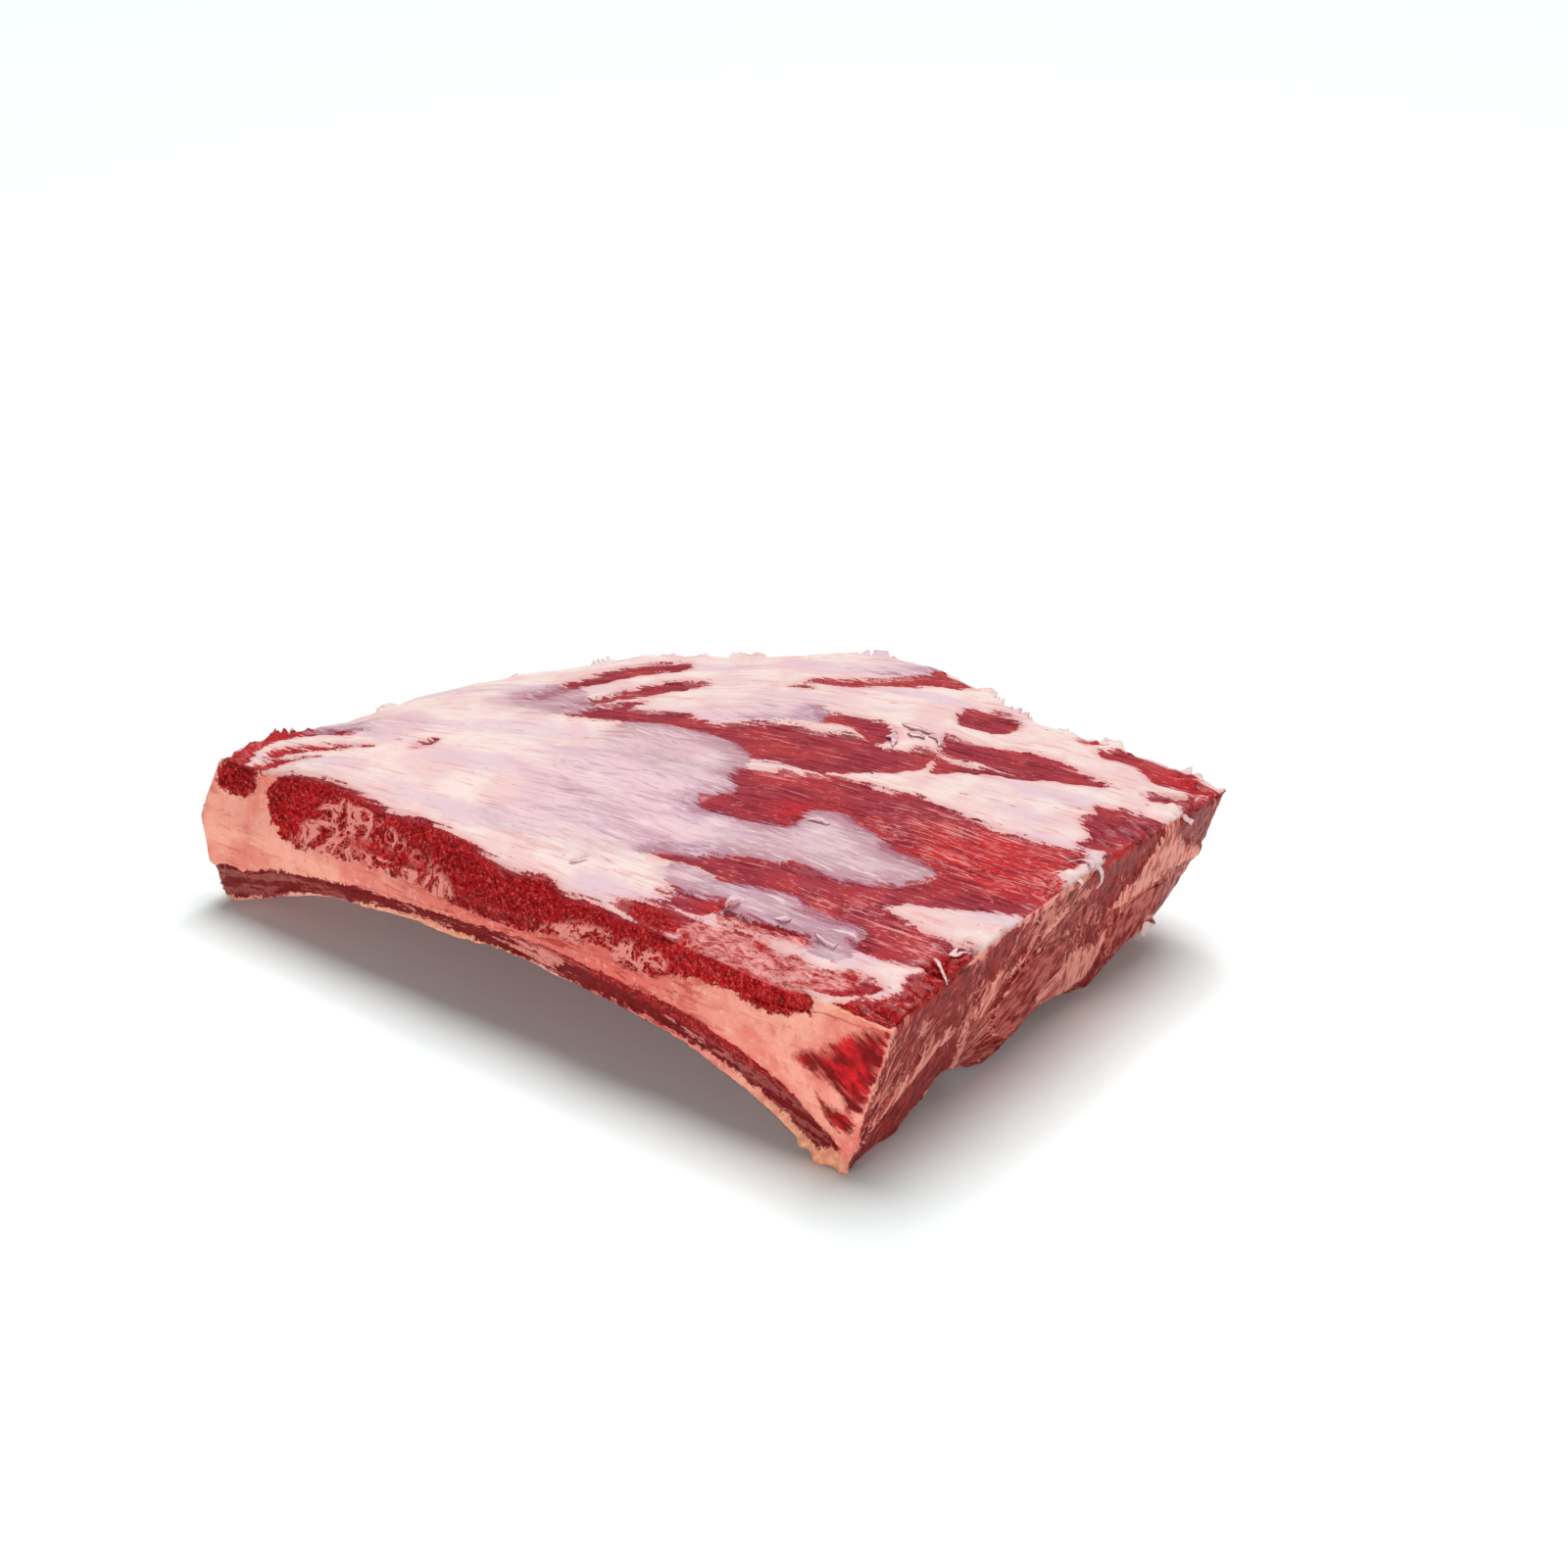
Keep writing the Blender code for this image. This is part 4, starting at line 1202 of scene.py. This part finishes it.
def make_bone():
    g = Group("bone", ["Place", "End", "Dull Cut"], ["Color", "Height"])
    clouds = g.speckle(g["Place"], 0.045, detail=4)
    lines = g.speckle(g["Place"], (0.06, 0.4, 0.4), detail=5, roughness=0.65, warp=0.8)
    pits = g.speckle(g["End"], (0.16, 0.3, 0.3), detail=5, roughness=0.65)
    crumbs = g.speckle(g["Place"], 0.35, detail=5, roughness=0.7)
    along = g.split(g["Place"])[0]
    blush = g.times(g.between(along, 60.0, 120.0), g.between(along, 240.0, 200.0))

    side = g.mix(g.between(clouds, 0.38, 0.62), BONE_PALE, BONE_PINK)
    side = g.tint(side, blush, 0.9, BONE_BLUSH)
    side = g.tint(side, g.between(lines, 0.52, 0.68), 0.4, BONE_LINE)
    side = g.tint(side, g.times(blush, g.between(lines, 0.52, 0.58)), 0.65, BONE_STREAK)
    side = g.tint(side, g.between(crumbs, 0.52, 0.7), 0.5, BONE_BRIGHT)
    side = g.tint(side, g.between(crumbs, 0.44, 0.3), 0.4, BONE_LINE)
    end = g.mix(g.between(pits, 0.38, 0.62), END_BONE_DARK, END_BONE)
    return g.put_out(Color=g.mix(g["Dull Cut"], side, end), Height=g.scaled(pits, 0.3, lines))


bone = make_bone()

# %% Silverskin: a thin lilac sheet, whiter where it is thick, streaked along the fibres
SKIN_MAUVE = paint(180, 126, 146)
SKIN_LILAC = paint(213, 172, 190)
SKIN_PINK = paint(243, 203, 214)
SKIN_LINE = paint(252, 226, 230)
SKIN_DEEP = paint(178, 104, 120)


def make_silverskin():
    g = Group("silverskin", ["Place", "Top", "Skin", "Sheer", "Lean"], ["Color"])
    cloud = g.speckle(g["Top"], (0.035, 0.1, 0.1), detail=6, roughness=0.68)
    threads = g.speckle(g["Top"], (0.04, 1.1, 1.1), detail=5, roughness=0.75)
    wisps = g.speckle(g["Top"], (0.03, 0.35, 0.35), detail=5, roughness=0.65)
    scratches = g.speckle(g["Place"], (0.06, 0.5, 0.5), detail=5, roughness=0.7, warp=0.6)
    thick = g.scaled(g.less(cloud, 0.5), 90.0, g.calc("MINIMUM", g["Skin"], 5.0))
    thick = g.scaled(g["Sheer"], -14.0, thick)
    thick = g.scaled(g.between(g["Lean"], -3.0, -11.0), 12.0, thick)

    colour = g.mix(g.between(thick, -6.0, 6.0), SKIN_MAUVE, SKIN_LILAC)
    colour = g.mix(g.between(thick, 5.0, 20.0), colour, SKIN_PINK)
    colour = g.tint(colour, g.between(threads, 0.53, 0.62), 0.6, SKIN_LINE)
    colour = g.tint(colour, g.between(threads, 0.45, 0.37), 0.5, SKIN_MAUVE)
    colour = g.tint(colour, g.between(wisps, 0.44, 0.34), 0.5, SKIN_DEEP)
    colour = g.tint(colour, g.between(scratches, 0.56, 0.66), 0.55, SKIN_DEEP)
    colour = g.tint(colour, g.between(scratches, 0.44, 0.36), 0.7, SKIN_LINE)
    return g.put_out(Color=colour)


silverskin = make_silverskin()

# %% All tissues together
BRUISE_BRIGHT = paint(212, 28, 34, FRONT_LIGHT)
BRUISE_DARK = paint(112, 2, 8, FRONT_LIGHT)
BRUISE_PALE = paint(222, 112, 100, FRONT_LIGHT)
SHADED_CREVICE_RED = paint(140, 16, 22)
WET_FAT, WET_MUSCLE = 0.05, 0.18
FAT_ROUGHNESS = 0.42


def make_tissue():
    g = Group("tissue", ["Position", *FIELDS], ["Color", "Roughness", "Height", "Wet"])
    values = {label: g[label] for label in ("Position", *FIELDS)}
    values.update(g.use(fibre_directions, values).items())
    groups = (fray, lean, fat, bone, silverskin)
    frayed, lean_here, fat_here, bone_here, skin_here = [g.use(group, values) for group in groups]

    def patch(depth, long, fine, softness):
        pushed = g.scaled(frayed["Long"], long, depth)
        return g.between(g.scaled(frayed["Fine"], fine, pushed), -softness, softness)

    # Muscle and silverskin are pushed opposite ways, so that no fat shows where they meet.
    is_lean = patch(g["Lean"], 1.0, 1.0, 0.4)
    sharp_skin, faded_skin = patch(g["Skin"], -1.0, -1.0, 0.5), patch(g["Skin"], 2.2, -1.0, 8.0)
    over_fat = g.between(g["Lean"], -3.0, -9.0)
    is_skin = g.mix(over_fat, sharp_skin, g.times(faded_skin, 0.8), "FLOAT")
    is_bone = patch(g["Bone"], 0.5, 0.6, 0.8)
    is_bruise = patch(g["Bruise"], 1.2, 1.0, 1.6)
    crevice = g.between(g.scaled(frayed["Fine"], 1.2, g["Crevice"]), -0.5, 0.3)

    blotches = g.speckle(values["Front"], (0.08, 0.15, 0.15), detail=5, roughness=0.66)
    pale_streaks = g.speckle(values["Front"], (0.06, 0.6, 0.6), detail=4)
    bruise = g.mix(g.between(blotches, 0.44, 0.7), BRUISE_DARK, BRUISE_BRIGHT)
    rim_streaks = g.times(g.between(pale_streaks, 0.5, 0.6), g.between(g["Bruise"], 5.0, 0.0))
    bruise = g.tint(bruise, rim_streaks, 0.7, BRUISE_PALE)

    colour = g.mix(is_bone, fat_here["Color"], bone_here["Color"])
    colour = g.mix(is_bruise, colour, bruise)
    colour = g.mix(is_lean, colour, lean_here["Color"])
    skin_hides = g.scaled(g["Sheer"], -0.2, 0.96)
    colour = g.tint(colour, is_skin, skin_hides, skin_here["Color"])
    # Painted shade: the crevices under lifted strips are darkened to a deep red.
    colour = g.tint(colour, crevice, 0.85, SHADED_CREVICE_RED)

    height = g.times(lean_here["Height"], is_lean)
    height = g.scaled(fat_here["Height"], g.less(1.0, is_lean), height)
    height = g.times(height, g.less(1.0, g.times(is_skin, 0.5)))
    rough = g.scaled(is_skin, -0.08, g.scaled(is_lean, -0.08, FAT_ROUGHNESS))
    bare = g.calc("MAXIMUM", g.less(is_lean, is_skin), is_bruise)
    wet = g.scaled(bare, WET_MUSCLE - WET_FAT, WET_FAT)
    return g.put_out(Color=colour, Roughness=rough, Height=height, Wet=wet)


tissue = make_tissue()

# %% [markdown]
# ## Materials
# The slab and the ribs each have their own Principled shader, fed by the shared tissue group. A
# thin clear coat gives the wet film on raw meat.

# %% Materials for meat and bone
BUMP_DEPTH, BUMP_STRENGTH = 0.8 * MM, 0.8
SHINE, FILM_ROUGHNESS = 0.02, 0.15


def field_name(label):
    return label.lower().replace(" ", "_")


def wet_material(name):
    made = bpy.data.materials.new(name)
    made.use_nodes = True
    wires = Wires(made.node_tree)
    values = {"Position": wires.node("ShaderNodeTexCoord").outputs["Object"]}
    for label in FIELDS:
        attribute = wires.node("ShaderNodeAttribute", attribute_name=field_name(label))
        values[label] = attribute.outputs["Fac"]
    here = wires.use(tissue, values)
    relief_here = {"Height": here["Height"], "Distance": BUMP_DEPTH, "Strength": BUMP_STRENGTH}
    bump = wires.node("ShaderNodeBump", relief_here)
    shader = made.node_tree.nodes["Principled BSDF"]
    wires.tree.links.new(here["Color"], shader.inputs["Base Color"])
    wires.tree.links.new(here["Roughness"], shader.inputs["Roughness"])
    wires.tree.links.new(here["Wet"], shader.inputs["Coat Weight"])
    wires.tree.links.new(bump.outputs["Normal"], shader.inputs["Normal"])
    shader.inputs["Specular IOR Level"].default_value = SHINE
    shader.inputs["Coat Roughness"].default_value = FILM_ROUGHNESS
    return made


raw_meat = wet_material("raw_meat_surface")
rib_bone = wet_material("rib_bone_surface")
print("materials", raw_meat.name, rib_bone.name)

# %% Dressing the slab and the ribs
slab.data.materials.append(raw_meat)
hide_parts("meat")
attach(slab, "root")
for node, piece in rib_bones.items():
    piece.data.materials.append(rib_bone)
    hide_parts(node)
    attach(piece, "root")
print("dressed", slab.name, [piece.name for piece in rib_bones.values()])

# %% [markdown]
# ## Torn strands and scraps
# Where the knife pulled, the silverskin and the fat curl up in small strips. Each one is a narrow
# grid that is bent along a path on the slab's skin, dished across, and given a thickness. It is
# made last, because it lies on the finished relief, and it takes the meat's own material with the
# depths of pure fat or pure silverskin written on its mesh.

# %% The finished skin, to lay the strands on
finished_skin = surface_tree(slab)


def on_skin(x, y, z, lift):
    """The nearest place on the finished skin, raised by some millimetres, and which way it faces."""
    place, facing, _, _ = finished_skin.find_nearest(SLAB_START + Vector((x, y, z)) * MM)
    return place + facing * lift * MM, facing


print("skin with", len(slab.data.vertices), "points to lay strands on")

# %% Strands of silverskin and fat
STRAND_STEPS, STRAND_ROWS = 20, 4
STRAND_THICK = 0.4
STRAND_SMOOTHING = 2
STRAND_WIGGLE = 0.9
WIGGLE_SEED = 5
# Each has a tissue, a width and a path, whose points are (x, y, z, lift), all in millimetres.
STRANDS = {
    "skin_curl_1": ("curl", 2.2, (
        (213, 25, 66, 0.0), (214, 27, 66, 1.6), (215, 28.5, 66, 2.6), (216.5, 30, 66, 2.0),
        (216, 31.5, 66, 0.6))),
    "skin_curl_2": ("curl", 1.5, (
        (203, 84.5, 69, 0.1), (205, 86, 69, 0.8), (207, 86.5, 69, 1.3), (210, 86, 69, 0.8),
        (211, 87.5, 69, 0.2))),
    "skin_curl_3": ("curl", 1.0, (
        (246, 31, 66, 0.1), (250, 29, 66, 0.6), (254, 27, 66, 0.9), (257.5, 27, 66, 0.7),
        (257.5, 29.5, 66, 0.2))),
    "skin_curl_4": ("curl", 1.8, (
        (231, 30, 66, 0.1), (233, 30, 66, 1.0), (235, 31.5, 66, 1.2), (236, 33, 66, 0.2))),
    "skin_curl_5": ("curl", 1.3, (
        (151, 19, 66, 0.1), (152.5, 21, 66, 0.8), (154, 23, 66, 1.0), (156, 25.5, 66, 0.2))),
    "scrap_1": ("curl", 3.0, (
        (183, 168, 66, 0.0), (187, 167, 66, 1.0), (190, 168.5, 66, 1.4), (194, 168, 66, 0.8),
        (198, 169, 66, 0.1))),
    "scrap_2": ("curl", 2.6, (
        (184, 157, 66, 0.0), (187, 157.5, 66, 1.2), (189, 155, 66, 1.3), (191, 151, 66, 0.1))),
    "scrap_3": ("curl", 2.2, (
        (196, 166, 66, 0.1), (199, 167, 66, 1.3), (201.5, 166, 66, 1.2), (204, 163, 66, 0.1))),
    "scrap_4": ("curl", 2.4, (
        (189, 163, 66, 0.1), (192, 162, 66, 1.2), (194, 164, 66, 1.0), (197, 163, 66, 0.1))),
    "rim_strand_1": ("fat", 2.0, (
        (288, 117, 68, 0.2), (292, 118, 68, 1.2), (296, 120, 67, 1.7), (298, 121, 64, 1.6),
        (298.5, 123, 59, 1.4), (298, 124, 55, 0.6))),
    "rim_strand_3": ("fat", 2.6, (
        (291, 46, 68, 0.0), (292, 44, 68, 0.7), (294, 43, 68, 1.0), (296, 45, 67, 0.9), (296, 48, 66, 0.1))),
    "rim_strand_5": ("fat", 1.8, (
        (292, 177, 60, 0.2), (295, 178, 60, 1.1), (297, 180, 58, 1.2), (298, 182, 55, 0.4))),
    "rim_strand_6": ("fat", 1.6, (
        (289, 105, 68, 0.2), (293, 106, 68, 1.0), (296, 108, 67, 1.1), (298, 109, 63, 0.4))),
    "rim_strand_7": ("fat", 1.3, (
        (288, 38, 67, 0.2), (291, 37, 67, 1.3), (295, 35, 66, 1.4), (297, 33, 62, 0.4))),
    "low_nub": ("fat", 6.0, (
        (296, 168, 16, 0.2), (296, 171, 12, 1.6), (296, 175, 9, 1.8), (296, 179, 8, 0.2))),
}
TISSUE_OF_STRAND = {
    "curl": {"lean": -12, "skin": 40},
    "fat": {"lean": -12, "skin": -12},
}


def make_strand(name, tissue, width, path):
    """A torn strip along a path of (x, y, z, lift), which tapers to both of its ends."""
    stops = np.linspace(0, 1, len(path))
    resting = [on_skin(*stop) for stop in path]
    places = np.array([place for place, facing in resting])
    wiggle = [noise.noise_vector(Vector(stop[:3]) * 3.7) for stop in path]
    places += np.array(wiggle) * STRAND_WIGGLE * MM
    facings = np.array([facing for place, facing in resting])

    def part_way(along, values):
        return Vector([float(np.interp(along, stops, values[:, axis])) for axis in range(3)])

    bm = bmesh.new()
    bmesh.ops.create_grid(bm, x_segments=STRAND_STEPS, y_segments=STRAND_ROWS, size=0.5)
    for vert in bm.verts:
        along, off_middle = vert.co.x + 0.5, vert.co.y * 2
        facing = part_way(along, facings).normalized()
        run = part_way(min(along + 0.1, 1), places) - part_way(max(along - 0.1, 0), places)
        across = run.cross(facing).normalized()
        taper = 0.2 + 0.8 * math.sin(math.pi * along) ** 0.6
        ragged = 1 + 0.8 * noise.noise(Vector((along * 7, off_middle, width * 9)))
        reach = 0.5 * width * taper * ragged
        dish = 0.3 * reach * off_middle**2
        vert.co = part_way(along, places) + across * (off_middle * reach * MM) + facing * (dish * MM)
    bmesh.ops.recalc_face_normals(bm, faces=bm.faces)
    bmesh.ops.solidify(bm, geom=bm.faces, thickness=STRAND_THICK * MM)
    smooth(bm, STRAND_SMOOTHING, 0.4)
    low, high = cad_box
    for vert in bm.verts:
        vert.co = Vector([min(max(c, low[i]), high[i]) for i, c in enumerate(vert.co)])
    made = object_from(bm, name, raw_meat)
    made.data.shade_smooth()
    fields = dict.fromkeys(map(field_name, FIELDS), 0.0)
    fields.update(dict.fromkeys(("bone", "bruise", "crevice"), -float(OUTLINE_REACH)))
    fields.update(TISSUE_OF_STRAND[tissue])
    write_fields(made, {key: np.full(len(made.data.vertices), value) for key, value in fields.items()})
    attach(made, "root")
    return made


noise.seed_set(WIGGLE_SEED)
strands = [make_strand(name, *how) for name, how in STRANDS.items()]
print(len(strands), "strands and scraps")
